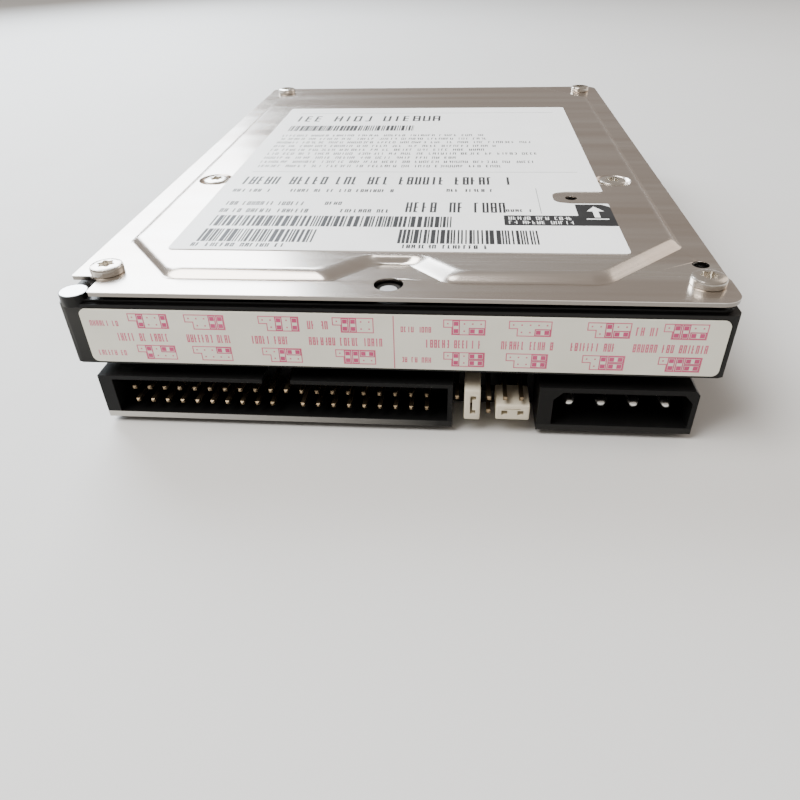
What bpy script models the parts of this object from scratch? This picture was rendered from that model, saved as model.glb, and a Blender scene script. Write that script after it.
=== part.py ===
"""Hard disk drive: 3.5-inch form factor, parallel ATA, two discs, load ramp.

Frame: metres, +Z up, origin at the centre of the footprint on the plane the drive
rests on.  -Y is the connector end, +X is to the right when facing that end.

Every length below is in millimetres.  A place is written (x, d, z), where d is the
distance from the casting's connector-end face towards the far end.  The helpers turn
these into metres.
"""

import math

import bmesh
import bpy
from mathutils import Matrix, Vector

# ---------------------------------------------------------------- driving dimensions
MM = 0.001
WIDTH = 101.6
DEPTH = 146.5
HEIGHT = 25.4
PROUD = 0.5                      # the connector stands this far ahead of the casting
CASTING_DEPTH = DEPTH - PROUD
GAP = 0.3                        # clearance between pieces that touch on the real drive
THIN_GAP = 0.1                   # the same, in a stack of thin sheets

# Cover: a flat flange with a raised field pressed in it.
SHEET = 0.7
FLANGE_TOP = 23.9
FIELD_TOP = 25.1
COVER_STEP = 0.25                # the flange is this much narrower behind the corners
FIELD_FOOT = [                   # corners (x, d, radius) of the step's lower bend
    (-35.0, 5.2, 3.0), (-8.9, 5.2, 2.5), (-2.6, 11.7, 3.0), (2.6, 11.7, 3.0), (8.7, 5.2, 2.5),
    (32.4, 5.4, 5.0), (46.4, 19.4, 2.5), (46.4, 126.0, 2.5), (34.0, 140.8, 4.0),
    (-34.0, 140.8, 4.0), (-46.4, 126.0, 2.5), (-46.4, 19.4, 2.5),
]
FIELD_CREST = [                  # and of its upper bend
    (-34.3, 6.9, 3.5), (-11.0, 6.9, 3.0), (-5.0, 12.5, 4.0), (5.0, 12.5, 4.0), (10.8, 6.9, 3.0),
    (31.7, 7.1, 5.0), (44.7, 20.1, 2.5), (44.7, 125.3, 2.5), (33.3, 139.1, 4.0),
    (-33.3, 139.1, 4.0), (-44.7, 125.3, 2.5), (-44.7, 20.1, 2.5),
]
CORNER_SCREWS = [(-45.2, 7.3), (47.0, 6.1), (-45.4, 139.2), (45.4, 139.2)]
SIDE_SCREWS = [(-40.4, 50.0), (40.4, 50.0)]
DIMPLE_RADIUS = 3.7              # round recess in the field for a side screw
MIDDLE_HOLE = (0.0, 4.4)
MIDDLE_HOLE_RADIUS = 2.25
TOOLING_HOLE = (47.8, 12.9)
TOOLING_HOLE_RADIUS = 1.3
BREATHER = (31.0, 39.5)
BREATHER_RADIUS = 1.1

# Casting.
WALL_TOP = 21.9                  # top of the outer wall
RIM_TOP = 22.4                   # top of the inner rim that carries the gasket
RIM_INSET = 0.7
DECK_BOTTOM = 11.4               # underside of the casting over the connector
DECK_REACH = 15.5                # the side rails start here
FLOOR_BOTTOM = 6.4
FLOOR_TOP = 8.4
DECK_FLOOR = 13.4                # chamber floor over the connector
RAIL = 5.8                       # width of a side rail
SIDE_HOLES = [28.5, 70.1, 130.1]
BOTTOM_HOLES = [41.28, 85.73]
BOTTOM_HOLE_X = 47.625
HOLE_HEIGHT = 6.35
TAPPED_RADIUS = 1.45             # 6-32 UNC, drawn at its tapping size
LOCATING_POST = (-48.5, 1.75)
LOCATING_POST_RADIUS = 2.2
LOCATING_POST_TOP = 23.3
NEAR_CORNER = 1.2                # plan radius of the casting's corners
FAR_CORNER = 3.0

# Spindle.
SPINDLE = (0.0, 95.2)
DISC_RADIUS = 47.5
DISC_BORE = 12.5
DISC_THICKNESS = 1.0
DISC_BOTTOMS = [11.8, 16.4]
WELL_RADIUS = 48.5
HUB_RADIUS = DISC_BORE - 0.15

# Actuator: parked on the ramp, it swings 36.5 degrees to the innermost track.
PIVOT = (14.0, 41.0)
HEAD_REACH = 48.0
PARKED = 161.4                   # direction of the arm in degrees from +X
COIL_HALF_ANGLE = 15.0
COIL_INNER = 10.5
COIL_OUTER = 21.5
ARM_LEVELS = [(9.55, 10.45), (14.15, 15.05), (18.75, 19.65)]
BEAM_LEVELS = [(10.60, 10.85), (13.75, 14.00), (15.20, 15.45), (18.35, 18.60)]
SLIDER_LEVELS = [(11.0, 11.6), (13.0, 13.6), (15.6, 16.2), (17.6, 18.2)]
LATCH_PIVOT = (40.6, 40.5)

# Circuit board and connectors.
BOARD_LOW = 3.0
BOARD_HIGH = 4.2
BOARD_FRONT = 9.6
BOARD_SCREWS = [(-40.0, 21.0), (40.0, 21.0), (-40.0, 80.0), (40.0, 80.0)]
PITCH = 2.54
HOUSING_LEFT = -47.8
HOUSING_RIGHT = 47.7
HOUSING_LOW = 1.0
HOUSING_HIGH = 9.2
SHROUD_DEPTH = 8.9
CAVITY_LOW = 2.2
IDE_LEFT = -45.5
IDE_RIGHT = 9.3
IDE_HIGH = 8.5
KEY_SLOT = (-20.4, -15.8)
BAY_LEFT = 10.1
BAY_RIGHT = 23.5
IDE_FIRST_PIN = -42.3
PIN_ROWS = [4.1, 6.64]
MISSING_PIN = 10                 # the key: the eleventh place of the lower row
PIN = 0.64
PIN_TIP = -0.1
PIN_TAIL = 9.0
INSERT_FRONT = 7.7               # the insert that holds the pins, clear of the board
INSERT_BACK = 9.3
JUMPER_FIRST_PIN = 10.75
JUMPER_TIP = -0.4
POWER_LEFT = 25.8
POWER_RIGHT = 46.9
POWER_HIGH = 8.3
POWER_CLIP = 1.4                 # chamfer of the socket's upper corners
POWER_FIRST_PIN = 28.7
POWER_PITCH = 5.08
POWER_ROW = 4.6
POWER_PIN_RADIUS = 1.05
POWER_TIP = 1.9

# Labels.
LABEL_TOP = HEIGHT
TOP_LABEL = (-37.6, 37.3, 13.7, 112.0)
END_LABEL = (-47.5, 49.4, 11.9, 21.2)

FINE = 48                        # sides of the large turned pieces
ROUND = 28                       # sides of the middling ones
SMALL = 12                       # sides of screws and pins

FINISHES = {                     # colour, roughness, metallic
    "black_casting": ((0.012, 0.012, 0.013), 0.32, 0.0),
    "stainless": ((0.62, 0.60, 0.57), 0.30, 1.0),
    "steel": ((0.55, 0.54, 0.52), 0.35, 1.0),
    "plated": ((0.72, 0.70, 0.66), 0.25, 1.0),
    "aluminium": ((0.70, 0.71, 0.72), 0.30, 1.0),
    "disc": ((0.80, 0.81, 0.82), 0.05, 1.0),
    "gold": ((0.83, 0.60, 0.28), 0.30, 1.0),
    "copper": ((0.72, 0.35, 0.18), 0.35, 1.0),
    "magnet": ((0.45, 0.45, 0.46), 0.40, 1.0),
    "rubber": ((0.02, 0.02, 0.02), 0.80, 0.0),
    "label": ((0.78, 0.79, 0.76), 0.45, 0.0),
    "board": ((0.02, 0.09, 0.05), 0.40, 0.0),
    "black_plastic": ((0.012, 0.012, 0.013), 0.42, 0.0),
    "cream_plastic": ((0.80, 0.74, 0.58), 0.45, 0.0),
    "flex": ((0.60, 0.32, 0.08), 0.40, 0.0),
    "foam": ((0.08, 0.08, 0.08), 0.90, 0.0),
    "felt": ((0.85, 0.85, 0.83), 0.95, 0.0),
    "ramp": ((0.75, 0.72, 0.62), 0.50, 0.0),
}


# ---------------------------------------------------------------------------- helpers
def to_world(x, d, z):
    """A place in millimetres as a vector in metres."""
    return Vector((x, d - DEPTH / 2 + PROUD, z)) * MM


def clear_scene():
    for obj in list(bpy.data.objects):
        bpy.data.objects.remove(obj, do_unlink=True)


def new_collection(name):
    collection = bpy.data.collections.new(name)
    bpy.context.scene.collection.children.link(collection)
    return collection


def add_object(name, mesh, place, finish):
    """Link a mesh at a place; without a finish it is a tool that only shapes others."""
    obj = bpy.data.objects.new(name, mesh)
    obj.location = place
    if finish is None:
        TOOLS.objects.link(obj)
        obj.hide_render = True
        obj.display_type = "WIRE"
        return obj
    PARTS.objects.link(obj)
    colour, roughness, metallic = FINISHES[finish]
    surface = bpy.data.materials.new(name)
    surface.use_nodes = True
    shader = surface.node_tree.nodes["Principled BSDF"]
    shader.inputs["Base Color"].default_value = (*colour, 1.0)
    shader.inputs["Roughness"].default_value = roughness
    shader.inputs["Metallic"].default_value = metallic
    mesh.materials.append(surface)
    return obj


def box(name, low, high, finish=None, bevel=0.0):
    """A block between two corners, with optional rounded edges."""
    corners = list(zip(low, high))
    low = to_world(*map(min, corners))
    high = to_world(*map(max, corners))
    shape = bmesh.new()
    bmesh.ops.create_cube(shape, size=1.0)
    bmesh.ops.scale(shape, vec=high - low, verts=shape.verts)
    mesh = bpy.data.meshes.new(name)
    shape.to_mesh(mesh)
    shape.free()
    obj = add_object(name, mesh, (low + high) / 2, finish)
    if bevel:
        round_edges(obj, bevel)
    return obj


def round_edges(obj, width, segments=1):
    modifier = obj.modifiers.new("Bevel", "BEVEL")
    modifier.width = width * MM
    modifier.segments = segments
    modifier.limit_method = "ANGLE"


def arc(centre, radius, start, end, steps):
    """Points along an arc, angles in degrees."""
    points = []
    for step in range(steps + 1):
        angle = math.radians(start + (end - start) * step / steps)
        points.append((centre[0] + radius * math.cos(angle),
                       centre[1] + radius * math.sin(angle)))
    return points


def rounded(corners, steps=2):
    """An outline from corners (x, d, radius), with an arc at each rounded corner."""
    points = []
    count = len(corners)
    for index, (x, d, radius) in enumerate(corners):
        corner = Vector((x, d))
        if radius == 0.0:
            points.append((x, d))
            continue
        back = (Vector(corners[index - 1][:2]) - corner).normalized()
        ahead = (Vector(corners[(index + 1) % count][:2]) - corner).normalized()
        half = back.angle(ahead) / 2
        centre = corner + (back + ahead).normalized() * (radius / math.sin(half))
        first = corner + back * (radius / math.tan(half)) - centre
        last = corner + ahead * (radius / math.tan(half)) - centre
        turn = first.angle_signed(last)
        for step in range(steps + 1):
            spoke = first.copy()
            spoke.rotate(Matrix.Rotation(-turn * step / steps, 2))
            points.append(tuple(centre + spoke))
    return points


def rectangle(left, right, near, far, radius=0.0, steps=3):
    corners = [(left, near, radius), (right, near, radius),
               (right, far, radius), (left, far, radius)]
    return rounded(corners, steps)


def sector(inner, outer, start, end, centre=PIVOT, steps=6):
    """A ring sector about a centre, angles in degrees."""
    return arc(centre, outer, start, end, steps) + arc(centre, inner, end, start, steps)


def plate(name, outline, low, high, finish=None, holes=()):
    """A flat piece between two heights, from a filled 2D curve."""
    curve = bpy.data.curves.new(name, "CURVE")
    curve.dimensions = "2D"
    curve.fill_mode = "BOTH"
    curve.extrude = (high - low) / 2 * MM
    for ring in [outline, *holes]:
        spline = curve.splines.new("POLY")
        spline.points.add(len(ring) - 1)
        spline.use_cyclic_u = True
        for point, (x, d) in zip(spline.points, ring):
            point.co = (*(to_world(x, d, 0.0).to_2d()), 0.0, 1.0)
    flat = bpy.data.objects.new(name, curve)
    PARTS.objects.link(flat)
    bpy.context.view_layer.update()
    mesh = bpy.data.meshes.new_from_object(flat.evaluated_get(bpy.context.evaluated_depsgraph_get()))
    bpy.data.objects.remove(flat, do_unlink=True)
    bpy.data.curves.remove(curve)
    shape = bmesh.new()
    shape.from_mesh(mesh)
    bmesh.ops.remove_doubles(shape, verts=shape.verts, dist=1e-6)
    bmesh.ops.recalc_face_normals(shape, faces=shape.faces)
    shape.to_mesh(mesh)
    shape.free()
    mesh.materials.clear()
    return add_object(name, mesh, (0.0, 0.0, (low + high) / 2 * MM), finish)


def turned(name, profile, centre, finish=None, steps=ROUND):
    """A turned piece from (radius, z) points, outer side first, from top to bottom.

    A profile that does not start on the axis is closed into a ring.
    """
    mesh = bpy.data.meshes.new(name)
    points = [Vector((radius, 0.0, z)) * MM for radius, z in profile]
    edges = [(index, index + 1) for index in range(len(points) - 1)]
    if profile[0][0] > 0.0:
        edges.append((len(points) - 1, 0))
    mesh.from_pydata(points, edges, [])
    obj = add_object(name, mesh, to_world(*centre, 0.0), finish)
    screw = obj.modifiers.new("Screw", "SCREW")
    screw.steps = steps
    screw.render_steps = steps
    screw.use_merge_vertices = True
    screw.merge_threshold = 1e-6
    screw.use_smooth_shade = False
    return obj


def ring(name, inner, outer, low, high, centre, finish=None, steps=ROUND):
    profile = [(outer, high), (outer, low), (inner, low), (inner, high)]
    return turned(name, profile, centre, finish, steps)


def disc(name, radius, low, high, centre, finish=None, steps=SMALL):
    profile = [(0.0, high), (radius, high), (radius, low), (0.0, low)]
    return turned(name, profile, centre, finish, steps)


def cross_rod(name, radius, place, length, steps=SMALL):
    """A cylinder tool lying along X."""
    shape = bmesh.new()
    bmesh.ops.create_cone(shape, cap_ends=True, segments=steps, radius1=radius * MM,
                          radius2=radius * MM, depth=length * MM)
    bmesh.ops.rotate(shape, verts=shape.verts, matrix=Matrix.Rotation(math.pi / 2, 3, "Y"))
    mesh = bpy.data.meshes.new(name)
    shape.to_mesh(mesh)
    shape.free()
    return add_object(name, mesh, to_world(*place), None)


def face_front(tool):
    """Stand up a plate drawn as (x, height), so that it runs along the depth."""
    drawn = to_world(0.0, 0.0, 0.0)
    run = Matrix.Translation((0.0, drawn.y + tool.location.z, 0.0))
    stand = Matrix.Rotation(math.pi / 2, 4, "X")
    tool.data.transform(run @ stand @ Matrix.Translation(-drawn))
    tool.location = (0.0, 0.0, 0.0)


def face_side(tool):
    """Stand up a plate drawn as (depth, height), so that it runs along X."""
    drawn = to_world(0.0, 0.0, 0.0)
    run = Matrix.Translation((tool.location.z, drawn.y, 0.0))
    stand = Matrix.Rotation(math.pi / 2, 4, "Z") @ Matrix.Rotation(math.pi / 2, 4, "X")
    tool.data.transform(run @ stand @ Matrix.Translation(-drawn))
    tool.location = (0.0, 0.0, 0.0)


def combine(target, operation, tools):
    for tool in tools:
        modifier = target.modifiers.new(tool.name, "BOOLEAN")
        modifier.operation = operation
        modifier.object = tool


def cut(target, *tools):
    combine(target, "DIFFERENCE", tools)


def join(target, *tools):
    combine(target, "UNION", tools)


def set_pivot(obj, centre):
    """Move an object's origin to a vertical axis without moving its shape."""
    place = to_world(*centre, 0.0)
    offset = obj.location - place
    obj.data.transform(Matrix.Translation(offset))
    obj.location = place


def star(centre, outer, inner, points=6):
    """A six-lobed driver recess."""
    outline = []
    for index in range(points * 2):
        radius = outer if index % 2 == 0 else inner
        angle = math.pi * index / points
        outline.append((centre[0] + radius * math.cos(angle),
                        centre[1] + radius * math.sin(angle)))
    return outline


# --------------------------------------------------------------------- shared outlines
def field_outline(share):
    """Edge of the raised field at a share of the way up its slope, from foot to crest."""
    corners = []
    for foot, crest in zip(FIELD_FOOT, FIELD_CREST):
        corners.append(tuple(low + (high - low) * share for low, high in zip(foot, crest)))
    return rounded(corners)


def cover_outline():
    """Edge of the cover: a little wider at the near right corner, and cut back round the
    locating post."""
    full = WIDTH / 2
    side = full - COVER_STEP
    near = 0.1
    far = CASTING_DEPTH - 0.3
    return rounded([
        (-45.6, near, 0.5),
        (full, near, 3.0),
        (full, 7.5, 0.0),
        (side, 8.2, 0.0),
        (side, far, 3.0),
        (-side, far, 3.0),
        (-side, 5.7, 0.3),
        (-47.2, 5.7, 1.0),
        (-45.6, 4.2, 0.6),
    ])


# -------------------------------------------------------------------------- the casting
def chamber_outline(side, near, reach=76.0):
    """Plan of the actuator's end of the chamber: clipped corners, and a scallop that
    clears the middle hole."""
    x, d = MIDDLE_HOLE
    scallop = near + 6.4
    return rounded([(-side + 10.0, near, 3.0), (x - 10.6, near, 3.0), (x - 6.4, scallop, 2.0),
                    (x + 6.4, scallop, 2.0), (x + 10.6, near, 3.0), (side - 12.0, near, 3.0),
                    (side, near + 12.6, 3.0), (side, reach, 0.0), (-side, reach, 0.0),
                    (-side, near + 12.6, 3.0)])


def chamber_tools():
    """Round disc well and a clipped pocket for the actuator, with the step over the
    connector."""
    side = 43.6
    well = disc("well", WELL_RADIUS, FLOOR_TOP, HEIGHT, SPINDLE, steps=FINE)
    pocket = plate("pocket", rounded([(-33.0, 17.6, 3.0), (33.0, 17.6, 3.0), (side, 24.0, 3.0),
                                      (side, 76.0, 0.0), (-side, 76.0, 0.0), (-side, 24.0, 3.0)]),
                   FLOOR_TOP, HEIGHT)
    shelf = plate("shelf", chamber_outline(side, 8.4, 30.0), DECK_FLOOR, HEIGHT + 0.5)
    return [well, pocket, shelf]


def base_casting():
    half = WIDTH / 2
    far = CASTING_DEPTH
    inner = half - RAIL
    plan = rounded([(-half, 0.0, NEAR_CORNER), (half, 0.0, NEAR_CORNER),
                    (half, far, FAR_CORNER), (-half, far, FAR_CORNER)])
    casting = plate("base_casting", plan, 0.0, WALL_TOP, "black_casting")
    notch = box("deck_notch", (-half - 5, -5.0, -5.0), (half + 5, DECK_REACH, DECK_BOTTOM))
    recess = plate("recess", [(DECK_REACH - 3, -5.0), (DECK_REACH - 3, FLOOR_BOTTOM),
                              (far - 6.0, FLOOR_BOTTOM), (far - 6.0, 2.2), (far + 5, 2.2),
                              (far + 5, -5.0)], -inner, inner)
    face_side(recess)
    cut(casting, notch, recess)
    motor_seat = ring("motor_seat", 16.4, 19.5, 4.4, 7.4, SPINDLE)
    rim = plate("rim", rectangle(-half + RIM_INSET, half - RIM_INSET, RIM_INSET, far - RIM_INSET,
                                 2.0), WALL_TOP - 1, RIM_TOP)
    join(casting, motor_seat, rim)
    cut(casting, *chamber_tools())

    bosses = [disc("screw_boss", 3.4, RIM_TOP - 3, FLANGE_TOP - SHEET - 0.15, place)
              for place in CORNER_SCREWS]
    bosses += [disc("screw_boss", 3.4, FLOOR_TOP - 1, FLANGE_TOP - SHEET - 0.15, place)
               for place in SIDE_SCREWS]
    bosses.append(disc("locating_post", LOCATING_POST_RADIUS, END_LABEL[3] + GAP,
                       LOCATING_POST_TOP, LOCATING_POST, steps=ROUND))
    bosses.append(disc("middle_boss", 1.9, RIM_TOP - 1, FLANGE_TOP - SHEET, MIDDLE_HOLE))
    bosses.append(disc("pivot_seat", 3.6, FLOOR_TOP - 1, FLOOR_TOP + 0.5, PIVOT))
    join(casting, *bosses)

    bores = [disc("screw_bore", 1.4, 16.0, HEIGHT, place, steps=12)
             for place in CORNER_SCREWS + SIDE_SCREWS]
    bores.append(disc("motor_bore", 12.6, 2.0, FLOOR_TOP + 1, SPINDLE, steps=ROUND))
    bores.append(disc("board_bore", 1.3, 0.0, FLOOR_BOTTOM + 1.2, BOARD_SCREWS[2], steps=12))
    bores.append(disc("board_bore", 1.3, 0.0, FLOOR_BOTTOM + 1.2, BOARD_SCREWS[3], steps=12))
    bores.append(box("head_window", (-28.0, 28.0, 5.0), (-11.0, 35.0, 10.0)))
    for side in (-1, 1):
        for place in SIDE_HOLES:
            bores.append(cross_rod("side_hole", TAPPED_RADIUS, (side * half, place, HOLE_HEIGHT),
                                   9.0))
        for place in BOTTOM_HOLES:
            bores.append(disc("bottom_hole", TAPPED_RADIUS, -1.0, 5.0,
                              (side * BOTTOM_HOLE_X, place)))
    cut(casting, *bores)


# ---------------------------------------------------------------- cover, gasket, labels
def dimple(shape, place):
    """The wall and floor of a round recess from the raised field to the flange."""
    top = to_world(*place, FIELD_TOP)
    made = bmesh.ops.create_circle(shape, radius=DIMPLE_RADIUS * MM, segments=SMALL,
                                   matrix=Matrix.Translation(top))
    rim = {edge for vert in made["verts"] for edge in vert.link_edges}
    wall = bmesh.ops.extrude_edge_only(shape, edges=list(rim))
    low = [item for item in wall["geom"] if isinstance(item, bmesh.types.BMVert)]
    bmesh.ops.translate(shape, verts=low, vec=(0.0, 0.0, (FLANGE_TOP - FIELD_TOP) * MM))
    to_axis = Matrix.Translation(-to_world(*place, FLANGE_TOP))
    bmesh.ops.scale(shape, vec=(0.84, 0.84, 1.0), verts=low, space=to_axis)
    bmesh.ops.contextual_create(shape, geom=[item for item in wall["geom"]
                                             if isinstance(item, bmesh.types.BMEdge)])


def sheet_layer(outline, holes, height):
    """A flat layer of the pressed sheet as vertices and faces."""
    flat = plate("layer", outline, height, height + 1.0, holes=holes)
    shape = bmesh.new()
    shape.from_mesh(flat.data)
    offset = flat.location.copy()
    bpy.data.objects.remove(flat, do_unlink=True)
    sides = [face for face in shape.faces if face.normal.z > -0.5]
    bmesh.ops.delete(shape, geom=sides, context="FACES")
    bmesh.ops.translate(shape, verts=shape.verts, vec=offset)
    return shape


def top_cover():
    """A pressed steel sheet: flange, sloped step, raised field with two screw recesses."""
    foot = field_outline(0.0)
    crest = field_outline(1.0)
    recesses = [arc(place, DIMPLE_RADIUS, 0, 360 - 360 / SMALL, SMALL - 1) for place in SIDE_SCREWS]
    sheet = bmesh.new()
    mesh = bpy.data.meshes.new("top_cover")
    for layer in (sheet_layer(cover_outline(), [foot], FLANGE_TOP),
                  sheet_layer(crest, recesses, FIELD_TOP)):
        layer.to_mesh(mesh)
        layer.free()
        sheet.from_mesh(mesh)
    lower = [sheet.verts.new(to_world(x, d, FLANGE_TOP)) for x, d in foot]
    upper = [sheet.verts.new(to_world(x, d, FIELD_TOP)) for x, d in crest]
    for index in range(len(foot)):
        sheet.faces.new((lower[index - 1], lower[index], upper[index], upper[index - 1]))
    for place in SIDE_SCREWS:
        dimple(sheet, place)
    bmesh.ops.remove_doubles(sheet, verts=sheet.verts, dist=2e-6)
    bmesh.ops.recalc_face_normals(sheet, faces=sheet.faces)
    if max(sheet.faces, key=lambda face: face.calc_area()).normal.z < 0:
        bmesh.ops.reverse_faces(sheet, faces=sheet.faces)
    sheet.to_mesh(mesh)
    sheet.free()
    cover = add_object("top_cover", mesh, (0.0, 0.0, 0.0), "stainless")
    thickness = cover.modifiers.new("Solidify", "SOLIDIFY")
    thickness.thickness = SHEET * MM
    thickness.offset = -1.0
    thickness.use_even_offset = True
    holes = [disc("cover_bore", 1.7, 20.0, 28.0, place, steps=12)
             for place in CORNER_SCREWS + SIDE_SCREWS]
    holes.append(disc("middle_hole", MIDDLE_HOLE_RADIUS, 20.0, 28.0, MIDDLE_HOLE, steps=24))
    holes.append(disc("tooling_hole", TOOLING_HOLE_RADIUS, 20.0, 28.0, TOOLING_HOLE))
    holes.append(disc("breather_hole", BREATHER_RADIUS, 20.0, 28.0, BREATHER))
    cut(cover, *holes)


def cover_gasket():
    """A thin seal on the rim, round the chamber and inside every screw."""
    low = RIM_TOP + THIN_GAP
    high = FLANGE_TOP - SHEET - THIN_GAP
    gasket = disc("cover_gasket", WELL_RADIUS + 1.35, low, high, SPINDLE, "rubber", FINE)
    join(gasket, plate("gasket_skirt", chamber_outline(45.1, 6.7), low, high))
    cut(gasket, disc("gasket_well", WELL_RADIUS + 0.15, low - 1, high + 1, SPINDLE, steps=FINE),
        plate("gasket_pocket", chamber_outline(43.8, 8.2), low - 1, high + 1))


def torx_screw(name, place, seat, head, length, thread, finish="plated"):
    """A pan-head screw with a six-lobed recess, standing on a height."""
    radius, height = head
    profile = [(0.0, seat + height), (radius - 0.6, seat + height), (radius, seat + height - 0.45),
               (radius, seat), (thread, seat), (thread, seat - length + 0.5),
               (thread - 0.5, seat - length), (0.0, seat - length)]
    screw = turned(name, profile, place, finish, SMALL)
    recess = plate("recess", star(place, radius * 0.48, radius * 0.34), seat + height - 0.9,
                   seat + height + 1.0)
    cut(screw, recess)


def cover_screws():
    for index, place in enumerate(CORNER_SCREWS + SIDE_SCREWS):
        torx_screw(f"cover_screw_{index + 1}", place, FLANGE_TOP + 0.12, (2.6, 1.35), 6.0, 1.15)


def board_screws():
    """Countersunk-style screws driven from below, so their heads point down."""
    for index, (x, d) in enumerate(BOARD_SCREWS):
        top = 6.0 if index < 2 else 7.2
        profile = [(0.0, top), (1.0, top), (1.0, BOARD_LOW - GAP), (2.2, BOARD_LOW - GAP),
                   (2.2, BOARD_LOW - 0.9), (1.7, BOARD_LOW - 1.3), (0.0, BOARD_LOW - 1.3)]
        screw = turned(f"board_screw_{index + 1}", profile, (x, d), "plated", SMALL)
        cut(screw, plate("recess", star((x, d), 1.0, 0.7), 1.0, BOARD_LOW - 0.7))


def labels():
    low = FIELD_TOP + THIN_GAP
    left, right, near, far = TOP_LABEL
    notch = [(right, 36.2, 0.4), (30.6, 36.2, 3.0), (27.6, 37.0, 2.0), (27.6, 42.0, 2.0),
             (30.6, 42.8, 3.0), (right, 42.8, 0.4)]
    outline = rounded([(left, near, 0.8), (right, near, 0.8), *notch, (right, far, 0.8),
                       (left, far, 0.8)])
    plate("top_label", outline, low, LABEL_TOP, "label")
    left, right, bottom, top = END_LABEL
    end = plate("end_label", rectangle(left, right, 0.0, top - bottom, 1.0), -0.1, 0.1, "label")
    upright = Matrix.Translation((0.0, to_world(0, -0.2, 0).y, bottom * MM))
    lie_flat = Matrix.Translation(-to_world(0, 0, 0))
    end.data.transform(upright @ Matrix.Rotation(math.pi / 2, 4, "X") @ lie_flat)
    end.location = (0.0, 0.0, 0.0)


# ------------------------------------------------------------------ board and connectors
def circuit_board():
    side = 44.6
    reach = 86.0
    bite = 19.8
    x, d = SPINDLE
    fall = math.degrees(math.asin((d - reach) / bite))
    bay = arc(SPINDLE, bite, -fall, -180 + fall, 12)
    outline = [(-side, BOARD_FRONT), (side, BOARD_FRONT), (side, reach), *bay, (-side, reach)]
    holes = [arc(place, 1.35, 0, 330, 11) for place in BOARD_SCREWS]
    plate("circuit_board", outline, BOARD_LOW, BOARD_HIGH, "board", holes)

    window = rectangle(-29.0, -10.0, 27.0, 36.0)
    plate("board_insulator", rectangle(-35.0, 35.0, 17.0, 74.0, 2.0), 4.9, 5.6, "foam",
          [window])


def chips():
    """Packages on the board's outer side, and the head connector on its inner side."""
    top = BOARD_LOW - GAP
    box("controller_chip", (-16.0, 30.0, 1.3), (4.0, 50.0, top), "black_plastic", 0.2)
    box("buffer_memory", (16.0, 34.0, 1.6), (26.0, 54.0, top), "black_plastic", 0.2)
    box("motor_driver", (-34.0, 56.0, 1.4), (-22.0, 68.0, top), "black_plastic", 0.2)
    box("head_connector", (-27.7, 28.3, BOARD_HIGH + GAP), (-11.3, 34.7, 8.1), "black_plastic", 0.2)


def connector_housing():
    """One moulding: signal shroud, open jumper bay and power shroud, over a solid back."""
    left = HOUSING_LEFT
    right = HOUSING_RIGHT
    front = -PROUD
    ahead = front - 1
    body = box("connector_housing", (left, front, HOUSING_LOW), (right, SHROUD_DEPTH, HOUSING_HIGH),
               "black_plastic")
    back = box("back", (left, SHROUD_DEPTH - 1.0, BOARD_HIGH + GAP), (right, 14.6, HOUSING_HIGH))
    join(body, back)
    signal = box("signal_cavity", (IDE_LEFT, ahead, CAVITY_LOW), (IDE_RIGHT, 7.4, IDE_HIGH))
    key = box("key_slot", (KEY_SLOT[0], ahead, 7.0), (KEY_SLOT[1], 6.0, HOUSING_HIGH + 1))
    bay = box("jumper_bay", (BAY_LEFT, ahead, HOUSING_LOW - 1), (BAY_RIGHT, 6.8, HOUSING_HIGH + 1))
    shoulder = POWER_HIGH - POWER_CLIP
    socket = [(POWER_LEFT, CAVITY_LOW), (POWER_RIGHT, CAVITY_LOW), (POWER_RIGHT, shoulder),
              (POWER_RIGHT - POWER_CLIP, POWER_HIGH), (POWER_LEFT + POWER_CLIP, POWER_HIGH),
              (POWER_LEFT, shoulder)]
    power = plate("power_cavity", socket, ahead, 8.0)
    face_front(power)
    clip = plate("clip", [(right - 1.6, HOUSING_HIGH + 1), (right + 1, HOUSING_HIGH + 1),
                          (right + 1, HOUSING_HIGH - 1.8)], ahead, 20.0)
    face_front(clip)
    cut(body, signal, key, bay, power, clip)

    last_power = POWER_FIRST_PIN + 3 * POWER_PITCH
    slots = [box("signal_slot", (-43.4, 7.0, 3.4), (7.1, 13.4, 7.9)),
             box("jumper_slot", (BAY_LEFT + 0.1, 6.0, 3.4), (22.3, 13.4, 7.9)),
             box("power_slot", (POWER_FIRST_PIN - 2.0, 7.0, POWER_ROW - 1.6),
                 (last_power + 2.0, 13.4, POWER_ROW + 1.6))]
    cut(body, *slots)


def square_pin(x, z, tip, tail):
    half = PIN / 2
    return box("pin", (x - half, tip, z - half), (x + half, tail, z + half))


def pin_rows(first, columns, tip, absent):
    """Two rows of pins, without the place that the connector leaves empty."""
    contacts = []
    for row, z in enumerate(PIN_ROWS):
        for column in range(columns):
            if (row, column) != absent:
                contacts.append(square_pin(first + PITCH * column, z, tip, PIN_TAIL))
    return contacts


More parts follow.
